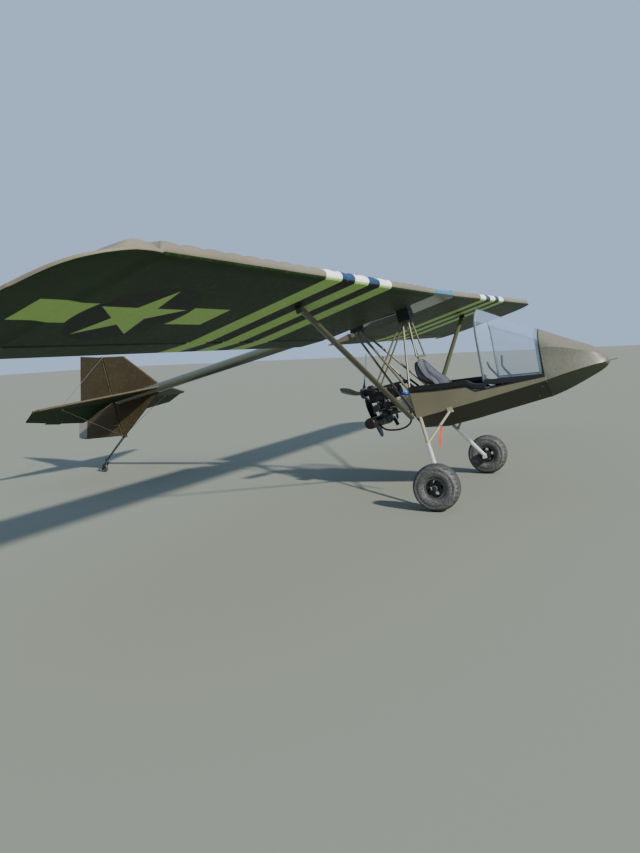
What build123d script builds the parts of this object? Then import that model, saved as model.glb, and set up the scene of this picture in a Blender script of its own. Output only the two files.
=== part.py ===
"""Single-seat pod-and-boom ultralight aircraft with a high strut-braced wing and a pusher propeller.

Everything is drawn in the level attitude: X forward, Y to port, Z up, the boom level. At the end the
whole aircraft is pitched until its main wheels and its tail wheel stand on one plane, as it parks.
"""
import math
import os

from build123d import *

os.makedirs("parts", exist_ok=True)

# Driving sizes, in millimetres and degrees.
skin = 4.0                      # wall of the pod's moulded panels
glazing = 3.0                   # clear sheet
running = 0.3                   # clearance of a pin in its bore
swing_gap = 6.0                 # cove between a hinged surface and what carries it
ball = 1.04                     # size of the ball at a tube's bend, over the tube's own

# Boom
boom_d = 110.0
boom_wall = 3.0
boom_z = 1833.0
boom_front = -150.0
tail_hinge_x = -3998.0          # rudder post
boom_end = tail_hinge_x + 93.0

# Wing
wing_x = 259.0                  # lower front edge of the root section
wing_below = 38.0               # that edge below the boom's axis
wing_z = boom_z - wing_below
half_gap = 287.0                # centre line to root rib
straight_span = 3640.0          # root rib to where the tip bow starts
tip_reach = 468.0               # width of the tip bow
hinge_u = 1163.0                # from the lower front edge back to the hinge axis
surface_chord = 257.0           # hinge axis to trailing edge
incidence = 4.0
dihedral = 0.45
section_depth = 166.0
nose_ahead = 25.0               # leading edge tube ahead of the lower front edge
nose_top = 70.0                 # where the leading edge's round ends
bow_t = 19.0                    # tube of the tip bow
hinge_r = 31.0                  # rounded nose of a hinged surface
trailing_t = 6.0
flap_inner = 12.0
flap_outer = 1780.0
aileron_outer = 3622.0
surface_gap = 10.0
spar_u = 400.0                  # main spar, behind the lower front edge
spar_d = 76.0

# Struts
strut_y = 2040.0
strut_chord = 58.0
strut_t = 24.0

# Pod
pod_rear = -180.0
pod_split = 1000.0              # where the nose moulding meets the tub
nose_tip = 1499.0
pod_half = 290.0
screen_sill_x = 492.0           # foot of the windscreen's rear arch
screen_top_x = 540.0            # its top

# Undercarriage
axle_x = 46.0
axle_z = 196.0
half_track = 860.0
tyre_r = 201.0
tyre_w = 146.0
rim_r = 84.0
rim_w = 108.0
axle_r = 10.0
leg_d = 32.0
tail_wheel_x = tail_hinge_x - 419.0
tail_wheel_z = 1097.0
tail_wheel_r = 52.0
tail_wheel_w = 34.0

# Tail
elevator_hinge_x = tail_hinge_x + 46.0
stab_root_x = tail_hinge_x + 798.0
stab_tip_x = tail_hinge_x + 128.0
fin_foot_drop = 445.0           # lower end of the tail post below the boom's axis
fin_rise = 560.0                # top of the fin above it
fin_foot_z = boom_z - fin_foot_drop
fin_top_z = boom_z + fin_rise
stab_half = 1225.0
stab_t = 26.0
elevator_chord = 430.0          # at its inner end
elevator_droop = 20.0           # how far it hangs below the stabiliser at rest
fin_t = 26.0

# Engine and propeller
prop_x = -762.0
prop_z = 1128.0
prop_r = 500.0
hub_r = 52.0
hub_t = 36.0


def rod(p, q, r, bore=0.0):
    """A round tube from p to q."""
    p, q = Vector(*p), Vector(*q)
    plane = Plane(origin=p, z_dir=q - p)
    length = (q - p).length
    solid = plane * Cylinder(r, length, align=(Align.CENTER, Align.CENTER, Align.MIN))
    if bore:
        solid -= plane * Cylinder(bore, length, align=(Align.CENTER, Align.CENTER, Align.MIN))
    return solid


def chain(points, r):
    """Round tube through a row of points, with a ball at each bend."""
    pieces = [rod(p, q, r) for p, q in zip(points, points[1:])]
    return pieces[0].fuse(*pieces[1:], *[Pos(*p) * Sphere(r * ball) for p in points[1:-1]])


def largest(solid, count=1):
    """The biggest solids of a shape, without the slivers that a cut leaves on its far side."""
    return Part(sorted(solid.solids(), key=lambda s: -s.volume)[:count])


def box(x0, x1, y0, y1, z0, z1):
    return Pos((x0 + x1) / 2, (y0 + y1) / 2, (z0 + z1) / 2) * Box(abs(x1 - x0), abs(y1 - y0), abs(z1 - z0))


def both(solid):
    return solid + mirror(solid, about=Plane.XZ)


def inset(points, t):
    """The closed outline moved inwards by t along each side's normal."""
    n = len(points)
    area = sum(points[i][0] * points[(i + 1) % n][1] - points[(i + 1) % n][0] * points[i][1]
               for i in range(n))
    sign = 1.0 if area > 0 else -1.0
    out = []
    for i in range(n):
        a, b, c = points[i - 1], points[i], points[(i + 1) % n]
        e1 = ((b[0] - a[0]), (b[1] - a[1]))
        e2 = ((c[0] - b[0]), (c[1] - b[1]))
        l1, l2 = math.hypot(*e1), math.hypot(*e2)
        n1 = (-e1[1] / l1 * sign, e1[0] / l1 * sign)
        n2 = (-e2[1] / l2 * sign, e2[0] / l2 * sign)
        k = 1.0 + n1[0] * n2[0] + n1[1] * n2[1]
        out.append((b[0] + t * (n1[0] + n2[0]) / k, b[1] + t * (n1[1] + n2[1]) / k))
    return out


def section_yz(x, points):
    """Face in the cross plane at station x, from (y, z) pairs."""
    wire = Wire.make_polygon([Vector(x, y, z) for y, z in points], close=True)
    return Face(wire)


def hull(sections):
    return Solid.make_loft([face.outer_wire() for face in sections], ruled=True)


def symmetric(half):
    """Full outline from its port half, listed from the bottom to the top."""
    other = [(-y, z) for y, z in reversed(half) if y > 0.01]
    return half + other


def tube_edged(points, t, place, normal):
    """Cloth-covered flat surface on a tube outline. place turns an outline point into X, Y, Z."""
    core = inset(points, t / 2)
    half = Vector(*normal) * (t / 2)
    slab = Solid.extrude(Face(Wire.make_polygon([Vector(*place(a, b)) - half for a, b in core],
                                                close=True)), half * 2)
    corners = [place(a, b) for a, b in core]
    tubes = [rod(p, q, t / 2 * ball) for p, q in zip(corners, corners[1:] + corners[:1])]
    return Part([slab]).fuse(*tubes, *[Pos(*p) * Sphere(t / 2 * ball * ball) for p in corners])


# Wing, in its own frame: X forward, Y outboard, Z up from the flat lower surface.

def wing_face(y, depth=section_depth, rear_u=None, inward=0.0):
    """Section of the wing ahead of the hinged surfaces, or as far back as rear_u."""
    def p(u, w):
        return Vector(-u, y, w)

    end = rear_u if rear_u else fixed_end
    t = inward
    edges = [
        Edge.make_three_point_arc(p(t, t), p(t - nose_ahead, nose_top / 2), p(12, nose_top - t)),
        Edge.make_three_point_arc(p(12, nose_top - t), p(430, depth - t), p(end, 66.0 - t)),
        Edge.make_line(p(end, 66.0 - t), p(end, t)),
        Edge.make_line(p(end, t), p(t, t)),
    ]
    return Face(Wire(edges))


def tip_face(y, front, rear, shoulder, crown):
    """Section of the tip: the bow's tube in front, the cloth drawn over it, a thin tail."""
    def p(u, w):
        return Vector(-u, y, w)

    low, high = 9.0, 9.0 + bow_t
    edges = [
        Edge.make_three_point_arc(p(front, low), p(front - bow_t / 2, low + bow_t / 2), p(front, high)),
        Edge.make_line(p(front, high), p(front + 22, high + shoulder)),
        Edge.make_three_point_arc(p(front + 22, high + shoulder), p(front + 0.32 * (rear - front),
                                                                    high + crown),
                                  p(rear, high + 2)),
        Edge.make_line(p(rear, high + 2), p(rear, low + 2)),
        Edge.make_line(p(rear, low + 2), p(front, low)),
    ]
    return Face(Wire(edges))


hinge_w = hinge_r + 1.0


def hinged_surface(y0, y1, stations):
    nose = rod((-hinge_u, y0, hinge_w), (-hinge_u, y1, hinge_w), hinge_r)
    pts = [(-hinge_u, hinge_w + hinge_r), (-(hinge_u + surface_chord), 34.0),
           (-(hinge_u + surface_chord), 34.0 - trailing_t), (-hinge_u, hinge_w - hinge_r)]
    wire = Wire.make_polygon([Vector(x, y0, z) for x, z in pts], close=True)
    blade = Solid.extrude(Face(wire), Vector(0, y1 - y0, 0))
    solid = nose + Part([blade])
    for s in stations:
        solid -= lug_space(s)
    return solid


lug_t = 8.0
pin_reach = 12.0
pin_r = 4.0


def lug(s):
    """Hinge lug on the wing with a pin to each side."""
    plate = box(-(hinge_u), -(hinge_u - hinge_r - swing_gap - 2), s - lug_t / 2, s + lug_t / 2,
                hinge_w - 9, hinge_w + 9)
    eye = rod((-hinge_u, s - lug_t / 2, hinge_w), (-hinge_u, s + lug_t / 2, hinge_w), 9)
    pin = rod((-hinge_u, s - lug_t / 2 - pin_reach, hinge_w), (-hinge_u, s + lug_t / 2 + pin_reach,
                                                               hinge_w), pin_r)
    return plate + eye + pin


def lug_space(s):
    """What a hinged surface leaves free round a lug through its whole travel."""
    w = lug_t / 2 + 2.0
    eye = rod((-hinge_u, s - w, hinge_w), (-hinge_u, s + w, hinge_w), 15)
    mouth = box(-(hinge_u + 2), -(hinge_u - hinge_r - 5), s - w, s + w, hinge_w - 29, hinge_w + 29)
    bore = rod((-hinge_u, s - lug_t / 2 - pin_reach - 2, hinge_w), (-hinge_u,
                                                                    s + lug_t / 2 + pin_reach + 2, hinge_w),
               pin_r + running)
    return eye + mouth + bore


fixed_end = hinge_u - hinge_r - swing_gap
flap_lugs = [150.0, 900.0, 1640.0]
aileron_lugs = [1940.0, 2750.0, 3500.0]


# Tip bow, from its inner end out
# width out, front set back, rear set forward from the straight trailing edge, shoulder, crown
tip_rows = [
    (0.0, -4.0, 2.0, 40.0, 128.0),
    (100.0, -5.0, 4.0, 38.0, 124.0),
    (175.0, 4.0, 16.0, 32.0, 116.0),
    (245.0, 34.0, 48.0, 25.0, 104.0),
    (310.0, 76.0, 96.0, 19.0, 90.0),
    (370.0, 132.0, 168.0, 14.0, 74.0),
    (415.0, 205.0, 252.0, 10.0, 56.0),
    (445.0, 300.0, 352.0, 6.0, 38.0),
    (tip_reach, 430.0, 500.0, 4.0, 16.0),
]


def wing_half():
    panel = Part([Solid.extrude(wing_face(0), Vector(0, straight_span, 0))])
    chord = hinge_u + surface_chord
    faces = [tip_face(straight_span + out, front, chord - rear, shoulder, crown)
             for out, front, rear, shoulder, crown in tip_rows]
    panel += Part([hull(faces)])
    for s in flap_lugs + aileron_lugs:
        panel += lug(s)
    return panel


def place_wing(solid):
    """From the wing's own frame to its place on the port side."""
    return Pos(wing_x, half_gap, wing_z) * Rot(dihedral, 0, 0) * Rot(0, -incidence, 0) * solid


def wing_point(u, s, w):
    """A point of the port wing in the aircraft's frame."""
    a, g = math.radians(incidence), math.radians(dihedral)
    x, z = -u * math.cos(a) - w * math.sin(a), -u * math.sin(a) + w * math.cos(a)
    y, z = s * math.cos(g) - z * math.sin(g), s * math.sin(g) + z * math.cos(g)
    return (wing_x + x, half_gap + y, wing_z + z)


nodes = {}

wing_left = place_wing(wing_half())
nodes["wing_left"] = wing_left
nodes["wing_right"] = mirror(wing_left, about=Plane.XZ)
flap_left = place_wing(hinged_surface(flap_inner, flap_outer, flap_lugs))
aileron_left = place_wing(hinged_surface(flap_outer + surface_gap, aileron_outer, aileron_lugs))
nodes["flap_left"] = flap_left
nodes["flap_right"] = mirror(flap_left, about=Plane.XZ)
nodes["aileron_left"] = aileron_left
nodes["aileron_right"] = mirror(aileron_left, about=Plane.XZ)

# Boom, and the fittings that hang the pod from it
boom = rod((boom_front, 0, boom_z), (boom_end, 0, boom_z), boom_d / 2)
boom_bore = rod((boom_front + 1, 0, boom_z), (boom_end - 1, 0, boom_z), boom_d / 2 - boom_wall)
nodes["boom_tube"] = boom - boom_bore

spar_root = wing_point(spar_u, 0, 55.0)
spar_x, spar_z = spar_root[0], spar_root[2]
carry = rod((spar_x, -half_gap, spar_z), (spar_x, half_gap, spar_z), spar_d / 2)
top_block = box(spar_x - 60, spar_x + 60, -62, 62, boom_z - 150, boom_z - boom_d / 2 - 1)
top_block += box(spar_x - 60, spar_x + 60, -62, 62, boom_z - 90, boom_z + 66)
spar_bracket = top_block + carry - boom - wing_left - mirror(wing_left, about=Plane.XZ)
nodes["spar_bracket"] = spar_bracket

rear_x = -660.0
rear_bracket = box(rear_x - 48, rear_x + 48, -62, 62, boom_z - 106, boom_z + 60) - boom
nodes["rear_bracket"] = rear_bracket

# Pod: floor, chine and sill stations, port half
# station, floor y, floor z, chine y, chine z, sill y, sill z
tub_stations = [
    (pod_rear, 150.0, 668.0, 290.0, 772.0, 290.0, 1018.0),
    (50.0, 152.0, 630.0, 290.0, 780.0, 290.0, 978.0),
    (335.0, 152.0, 636.0, 290.0, 790.0, 290.0, 942.0),
    (405.0, 152.0, 640.0, 290.0, 793.0, 290.0, 884.0),
    (pod_split, 142.0, 673.0, 279.0, 822.0, 277.0, 862.0),
]
outer, inner = [], []
for x, fy, fz, cy, cz, sy, sz in tub_stations:
    ring = symmetric([(fy, fz), (cy, cz), (sy, sz)])
    outer.append(section_yz(x, ring))
    hollow = inset(symmetric([(fy, fz), (cy, cz), (sy, sz + 60)]), skin)
    inner.append((x, hollow))
tub = Part([hull(outer)])
cavity = hull([section_yz(x + (skin if i == 0 else 0) + (1 if i == len(inner) - 1 else 0), h)
               for i, (x, h) in enumerate(inner)])
tub = tub - Part([cavity])
nodes["pod_tub"] = tub



def soft_ring(x, rows):
    """Closed face at station x. rows: y, z of the port half's corners and the bulge of the side after each."""
    corners = [(y, z) for y, z, _ in rows]
    bulges = [b for _, _, b in rows[:-1]]
    loop = corners + [(-y, z) for y, z in reversed(corners) if y > 0.01]
    swell = bulges + bulges[::-1] + [0.0]
    edges = []
    for (a, b), (c, d), s in zip(loop, loop[1:] + loop[:1], swell):
        run = math.hypot(c - a, d - b)
        p, q = Vector(x, a, b), Vector(x, c, d)
        if s:
            edges.append(Edge.make_three_point_arc(p, Vector(x, (a + c) / 2 + s * (d - b) / run,
                                                             (b + d) / 2 - s * (c - a) / run), q))
        else:
            edges.append(Edge.make_line(p, q))
    return Face(Wire(edges))


# Nose: station, floor y, floor z, chine y, chine z, crease y, crease z, top z, bulge of cheek, bulge of deck
nose_stations = [
    (pod_split, 142.0, 673.0, 279.0, 822.0, 168.0, 1103.0, 1268.0, 5.0, 27.0),
    (1070.0, 131.0, 684.0, 262.0, 831.0, 158.0, 1087.0, 1222.0, 7.0, 24.0),
    (1139.0, 118.0, 698.0, 240.0, 838.0, 145.0, 1064.0, 1174.0, 9.0, 22.0),
    (1207.0, 105.0, 716.0, 216.0, 843.0, 131.0, 1038.0, 1129.0, 10.0, 19.0),
    (1274.0, 90.0, 736.0, 189.0, 847.0, 116.0, 1007.0, 1085.0, 10.0, 16.0),
    (1340.0, 73.0, 757.0, 156.0, 850.0, 97.0, 978.0, 1043.0, 9.0, 13.0),
    (1405.0, 53.0, 778.0, 117.0, 851.0, 74.0, 944.0, 998.0, 8.0, 10.0),
    (1450.0, 38.0, 798.0, 82.0, 850.0, 53.0, 912.0, 952.0, 5.0, 7.0),
    (1480.0, 24.0, 817.0, 51.0, 849.0, 34.0, 885.0, 908.0, 3.0, 4.0),
    (nose_tip, 9.0, 838.0, 18.0, 848.0, 12.0, 858.0, 866.0, 1.0, 1.0),
]
shell, hollow = [], []
for x, fy, fz, cy, cz, ry, rz, tz, cheek, deck in nose_stations:
    shell.append(soft_ring(x, [(fy, fz, 4.0 * fy / 142), (cy, cz, cheek), (ry, rz, deck), (0.0, tz, 0)]))
    if x < 1430:
        (a, b), (c, d), (e, f), (g, h) = inset(symmetric([(fy, fz), (cy, cz), (ry, rz), (0.0, tz)]),
                                               skin)[:4]
        hollow.append(soft_ring(x - (1 if x == pod_split else 0),
                                [(a, b, 4.0 * fy / 142), (c, d, cheek), (e, f, deck), (0.0, h, 0)]))
nose = Part([hull(shell)]) - Part([hull(hollow)])
pitot = rod((nose_tip - 12, 0, 852), (nose_tip + 62, 0, 850), 5)
nodes["nose_shell"] = nose + pitot

# Windscreen: a straight side and a rounded top, from the leaning rear arch to the nose's front edge
screen_sill_z, screen_top_z = 944.0, 1585.0


def arch_x(z):
    """Station of the rear arch's plane at height z."""
    share = (z - screen_sill_z) / (screen_top_z - screen_sill_z)
    return screen_sill_x + (screen_top_x - screen_sill_x) * share


# side foot y, z, shoulder y, z, a point on the round y, z, top z
rear_arch = (290.0, screen_sill_z, 290.0, 1290.0, 216.0, 1508.0, screen_top_z)
front_arch = (263.0, 862.0, nose_stations[0][5], nose_stations[0][6], 103.0, 1204.0, nose_stations[0][7])


def arch_points(arch, t):
    fy, fz, sy, sz, my, mz, tz = arch
    return [(fy - t, fz), (sy - t, sz), (my - 0.75 * t, mz - 0.66 * t), (0.0, tz - t)]


def arch_edges(points, x_of):
    """Port side, round top and starboard side of an arch."""
    (fy, fz), (sy, sz), (my, mz), (_, tz) = points
    p = [Vector(x_of(z), y, z) for y, z in ((fy, fz), (sy, sz), (my, mz), (0, tz), (-my, mz), (-sy, sz),
                                            (-fy, fz))]
    return [Edge.make_line(p[0], p[1]), Edge.make_three_point_arc(p[1], p[2], p[3]),
            Edge.make_three_point_arc(p[3], p[4], p[5]), Edge.make_line(p[5], p[6])]


def screen_shape(t, dx, drop):
    rings = []
    for arch, x_of in ((rear_arch, lambda z: arch_x(z) - dx), (front_arch,
                                                               lambda z: pod_split - running + dx)):
        points = arch_points(arch, t)
        points[0] = (points[0][0], points[0][1] - drop)
        edges = arch_edges(points, x_of)
        rings.append(Wire(edges + [Edge.make_line(edges[-1] @ 1, edges[0] @ 0)]))
    return Part([Solid.make_loft(rings, ruled=True)])


screen = screen_shape(0, 0, 0) - screen_shape(glazing, 1, 30)
nodes["windscreen"] = screen

frame_r = 7.0
frame_in = glazing + frame_r + 10.5     # clears the sheet where it slopes


def hoop(arch, t, x_of, steps=4):
    """Points of an arch's tube from the port foot to the starboard one."""
    sides = arch_edges(arch_points(arch, t), x_of)
    points = [sides[0] @ 0]
    for edge in sides[1:3]:
        points += [edge @ (i / steps) for i in range(steps)]
    points += [sides[3] @ 0, sides[3] @ 1]
    return [(p.X, p.Y, p.Z) for p in points]


hoop_rear = hoop(rear_arch, frame_in, lambda z: arch_x(z) + frame_r)
hoop_front = hoop(front_arch, frame_in, lambda z: pod_split - frame_r - 5)
post_foot_z = 858.0
loop = hoop_rear + hoop_front[::-1]
pieces = [rod(p, q, frame_r) for p, q in zip(loop, loop[1:] + loop[:1])]
pieces += [rod(hoop_front[0], hoop_front[-1], frame_r)]
pieces += [rod(p, (p[0], p[1], post_foot_z), frame_r) for p in (hoop_rear[0], hoop_rear[-1])]
pieces += [Pos(*p) * Sphere(frame_r * ball) for p in loop]
frame = pieces[0].fuse(*pieces[1:])
nodes["windscreen_frame"] = largest(frame - tub)

# Seat: a reclined back and a pan
seat_half = 205.0
# back: front face from the top down, then the rear face up; x, z
back_profile = [(-100, 1292), (-58, 1215), (-13, 1133), (38, 1078), (76, 1006), (30, 1003), (-70, 1072),
                (-132, 1112),
                (-158, 1200), (-156, 1268), (-136, 1296)]
# outline from the front: half width, z
back_outline = [(seat_half, 990), (seat_half, 1050), (168, 1135), (128, 1240), (104, 1284), (70, 1310)]
back = Part([Solid.extrude(Face(Wire.make_polygon([Vector(x, -seat_half, z) for x, z in back_profile],
                                                  close=True)),
                           Vector(0, 2 * seat_half, 0))])
back_front = [(y, z) for y, z in back_outline] + [(-y, z) for y, z in reversed(back_outline)]
back = back & Part([Solid.extrude(section_yz(-200, back_front), Vector(400, 0, 0))])
pan_profile = [(30, 1002.7), (76, 1005.7), (150, 985), (190, 900), (500, 880), (505, 820), (90, 800), (30,
                                                                                                       850)]
pan = Solid.extrude(Face(Wire.make_polygon([Vector(x, -seat_half, z) for x, z in pan_profile], close=True)),
                    Vector(0, 2 * seat_half, 0))
nodes["seat_back"] = back
nodes["seat_pan"] = Part([pan])
seat_bars = rod((110, -284, 806), (110, 284, 806), 12) + rod((470, -284, 816), (470, 284, 816), 12)
nodes["seat_frame"] = seat_bars - Part([pan]) - tub

# Cabane: tubes from the two boom fittings to the pod's rear frame
tube_r = 11.0
corner_low = (pod_rear - tube_r + 1, 272.0, 790.0)
corner_high = (pod_rear - tube_r + 1, 272.0, 1030.0)
spar_foot = (spar_x, 40.0, boom_z - 150)
rear_foot = (rear_x + 20, 40.0, boom_z - 106)
front_tubes = both(rod(corner_low, corner_high, tube_r) + rod(corner_high, (spar_x - 25, 40,
                                                                            boom_z - 148), tube_r)
                   + Pos(*corner_high) * Sphere(tube_r) + Pos(*corner_low) * Sphere(tube_r))
for corner in (corner_high, corner_low):
    front_tubes += rod((corner[0], -corner[1], corner[2]), corner, tube_r)
tank_x0, tank_x1, tank_z = -382.0, corner_low[0] - tube_r, 870.0
front_tubes += both(box(tank_x0 + 6, corner_low[0], 106, 130, tank_z - 12, tank_z)
                    + box(corner_low[0] - 8, corner_low[0] + 6, 106, 130, corner_low[2], tank_z))
front_tubes += both(rod((spar_x + 30, 40, boom_z - 148), (-96, 120, 1330), 9.0) + Pos(-96, 120,
                                                                                      1330) * Sphere(9.0))
front_tubes += rod((-96, -120, 1330), (-96, 120, 1330), 9.0)
nodes["cabane_front"] = front_tubes - tub - spar_bracket - back

rear_tubes = both(rod((rear_x - 20, 40, boom_z - 104), corner_low, tube_r)
                  + rod((rear_x + 30, 40, boom_z - 104), corner_high, tube_r))
rear_tubes += both(rod((spar_x - 45, 48, boom_z - 146), (-610, 70, 1140), 9.0))
rear_tubes += rod((rear_x + 46, 0, boom_z - 88), (spar_x - 58, 0, boom_z - 88), 7.0)
nodes["cabane_rear"] = rear_tubes - nodes["cabane_front"] - rear_bracket - spar_bracket - tub

# Engine: inverted two-cylinder, hung from two rails
rail_y = 70.0
rail_z = 1140.0
rail = chain([(corner_high[0], rail_y, corner_high[2]), (corner_high[0] - 90, rail_y, rail_z),
              (-660, rail_y, rail_z)], 10.0)
rail = rail.fuse(*[box(x - 20, x + 20, 50, 90, 1112, rail_z - 6) for x in (-460, -620)])
rail = largest(rail - nodes["cabane_front"] - nodes["cabane_rear"])
nodes["engine_mount"] = both(rail)

crank_z = 1062.0
deck_z = 1010.0                 # where the barrels leave the case
case_x0, case_x1 = -655.0, -415.0
case = fillet(box(case_x0, case_x1, -62, 62, deck_z, 1112).edges().filter_by(Axis.X), 16)
for foot_x in (-460.0, -620.0):
    case += box(foot_x - 20, foot_x + 20, -95, 95, 1098, 1112)
for i in range(5):
    case += box(case_x0 + 30 + 45 * i, case_x0 + 36 + 45 * i, -68, 68, deck_z + 14, 1096)
case += rod((case_x1, 0, crank_z), (case_x1 + 34, 0, crank_z), 66)
case += rod((case_x1 + 34, 0, crank_z), (case_x1 + 44, 0, crank_z), 44)
gear_x = -700.0
case += rod((gear_x, 0, prop_z), (case_x0, 0, prop_z), 58) + rod((gear_x, 0, crank_z), (case_x0, 0,
                                                                                        crank_z), 50)
case += box(gear_x, case_x0, -50, 50, crank_z, prop_z)
shaft = rod((gear_x, 0, prop_z), (prop_x + hub_t / 2 + running, 0, prop_z), 34)
shaft += rod((gear_x - 8, 0, prop_z), (gear_x, 0, prop_z), 46)
nodes["engine_case"] = (case + shaft) - nodes["engine_mount"]

# Cylinders hang below the case, carburettors to starboard, exhaust ports to port
cylinder_x = (-480.0, -590.0)
fin_x, fin_y, fin_thick, fin_pitch, fin_count = 98.0, 112.0, 4.0, 14.0, 8
head_z = deck_z - fin_pitch * (fin_count + 0.5)
intake_z = 955.0
cylinders = None
for cx in cylinder_x:
    one = rod((cx, 0, deck_z), (cx, 0, head_z), 36)
    for i in range(fin_count):
        one += Pos(cx, 0, deck_z - 8 - fin_pitch * i - fin_thick) * extrude(RectangleRounded(fin_x, fin_y,
                                                                                             22), fin_thick)
    one += Pos(cx, 0, head_z - 12) * extrude(RectangleRounded(fin_x, fin_y, 22), 14)
    for y in (-40, -20, 0, 20, 40):
        one += box(cx - 42, cx + 42, y - 2.5, y + 2.5, head_z - 34, head_z - 12)
    one += rod((cx, 0, head_z - 12), (cx, 0, head_z - 58), 9) + rod((cx, 0, head_z - 40), (cx, 0,
                                                                                           head_z - 68), 13)
    # intake flange, mixing chamber, float bowl, air filter
    one += rod((cx, -34, intake_z), (cx, -80, intake_z), 19) + rod((cx, -76, intake_z), (cx, -128,
                                                                                         intake_z), 24)
    one += rod((cx, -104, intake_z + 52), (cx, -104, intake_z), 17) + rod((cx, -104, intake_z), (cx, -104,
                                                                                                 intake_z - 46), 20)
    one += rod((cx, -128, intake_z), (cx, -186, intake_z), 33)
    cylinders = one if cylinders is None else cylinders + one
nodes["engine_cylinders"] = cylinders

# Silencer across the aircraft behind the cylinders: shell, coned port end, two pipes from the ports, outlet
muffler_x, muffler_z, muffler_r = -676.0, 828.0, 52.0
muffler_y0, muffler_y1, cone_len = -240.0, 262.0, 80.0
muffler = fillet(rod((muffler_x, muffler_y0, muffler_z), (muffler_x, muffler_y1, muffler_z),
                     muffler_r).edges(), 7)
muffler += Pos(muffler_x, muffler_y1 - 8, muffler_z) * Rot(-90, 0, 0) * Cone(
    muffler_r - 1, 24, cone_len + 8, align=(Align.CENTER, Align.CENTER, Align.MIN))
for y in (muffler_y0 + 60, muffler_y1 - 70):
    muffler += rod((muffler_x, y, muffler_z), (muffler_x, y + 12, muffler_z), muffler_r + 3)
outlet = [(muffler_x, muffler_y1 + cone_len - 2, muffler_z), (muffler_x + 4, muffler_y1 + cone_len + 34,
                                                              muffler_z - 12),
          (muffler_x + 26, muffler_y1 + cone_len + 44, muffler_z - 96)]
muffler += chain(outlet, 18.0)
for cx in cylinder_x:
    muffler += rod((cx, 34, intake_z - 5), (cx, 110, intake_z - 5), 17) + Pos(cx, 110,
                                                                              intake_z - 5) * Sphere(18)
    muffler += rod((cx, 110, intake_z - 5), (muffler_x + 10, 120, muffler_z + 20), 17)
nodes["muffler"] = muffler - cylinders

tank_y, tank_top = 190.0, 1008.0
tank = box(tank_x0, tank_x1, -tank_y, tank_y, tank_z, tank_top)
tank = fillet(tank.edges().filter_by(Axis.Y), 0.17 * (tank_top - tank_z))
for y in (-95.0, 95.0):
    tank -= box(tank_x0 - 1, tank_x0 + 5, y - 14, y + 14, tank_z, tank_top) \
        + box(tank_x0, tank_x1, y - 14, y + 14, tank_top - 5, tank_top + 1)
filler = (-300.0, -110.0)
tank += rod((*filler, tank_top - 6), (*filler, tank_top + 16), 26) + rod((*filler, tank_top + 8),
                                                                         (*filler, tank_top + 30), 34)
nodes["fuel_tank"] = tank - nodes["cabane_front"] - nodes["engine_mount"]

# Propeller: hub and three ground-adjustable blades
blade_angles = (38.0, 158.0, -82.0)      # from straight up, towards port


def blade(angle):
    rows = [  # radius, chord, thickness, pitch
        (66.0, 42.0, 30.0, 50.0),
        (0.26 * prop_r, 74.0, 19.0, 38.0),
        (0.46 * prop_r, 88.0, 13.0, 28.0),
        (0.68 * prop_r, 82.0, 10.0, 21.0),
        (0.88 * prop_r, 68.0, 7.0, 17.0),
        (prop_r, 46.0, 5.0, 15.0),
    ]
    faces = []
    for r, c, t, p in rows:
        a = math.radians(p)

        def at(u, w):
            return Vector(-(u * math.sin(a) + w * math.cos(a)), u * math.cos(a) - w * math.sin(a), r)

        faces.append(Face(Wire([Edge.make_three_point_arc(at(c / 2, 0), at(0.1 * c, 0.62 * t), at(-c / 2,
                                                                                                  0)),
                                Edge.make_three_point_arc(at(-c / 2, 0), at(0.0, -0.32 * t), at(c / 2,
                                                                                                0))])))
    solid = Part([hull(faces)]) + rod((0, 0, hub_r - 14), (0, 0, 84), 15)
    return Pos(prop_x, 0, prop_z) * Rot(-angle, 0, 0) * solid


prop = rod((prop_x - hub_t / 2, 0, prop_z), (prop_x + hub_t / 2, 0, prop_z), hub_r)
for a in blade_angles:
    prop += blade(a)
nodes["propeller"] = prop

# Lift struts: streamlined section from the spar to the pod's rear lower corner
strut_top = wing_point(spar_u + 20, strut_y - half_gap, 0)
strut_low = (pod_rear - 42.0, pod_half + 22.0, 792.0)


def streamlined(p, q, chord, t):
    p, q = Vector(*p), Vector(*q)
    z_dir = (q - p).normalized()
    plane = Plane(origin=p, x_dir=(Vector(1, 0, 0) - z_dir * z_dir.X).normalized(), z_dir=z_dir)
    a, b = chord / 2, t / 2
    edges = [Edge.make_three_point_arc(Vector(-a, 0, 0), Vector(0.15 * a, b, 0), Vector(a, 0, 0)),
             Edge.make_three_point_arc(Vector(a, 0, 0), Vector(0.15 * a, -b, 0), Vector(-a, 0, 0))]
    face = Face(Wire(edges))
    solid = Solid.extrude(face, Vector(0, 0, (q - p).length))
    return plane * Part([solid])


strut = streamlined(strut_top, strut_low, strut_chord, strut_t)
strut_plate = box(strut_low[0] - 18, strut_low[0] + 20, pod_half - 2, pod_half + 28,
                  strut_low[2] - 20, strut_low[2] + 20)
top_plate = box(strut_top[0] - 22, strut_top[0] + 22, strut_y - 26, strut_y + 14, strut_top[2] - 46,
                strut_top[2] + 20)
strut = strut + strut_plate + top_plate - wing_left - tub - nodes["cabane_front"] - nodes["cabane_rear"]
nodes["strut_left"] = strut
nodes["strut_right"] = mirror(strut, about=Plane.XZ)

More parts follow.
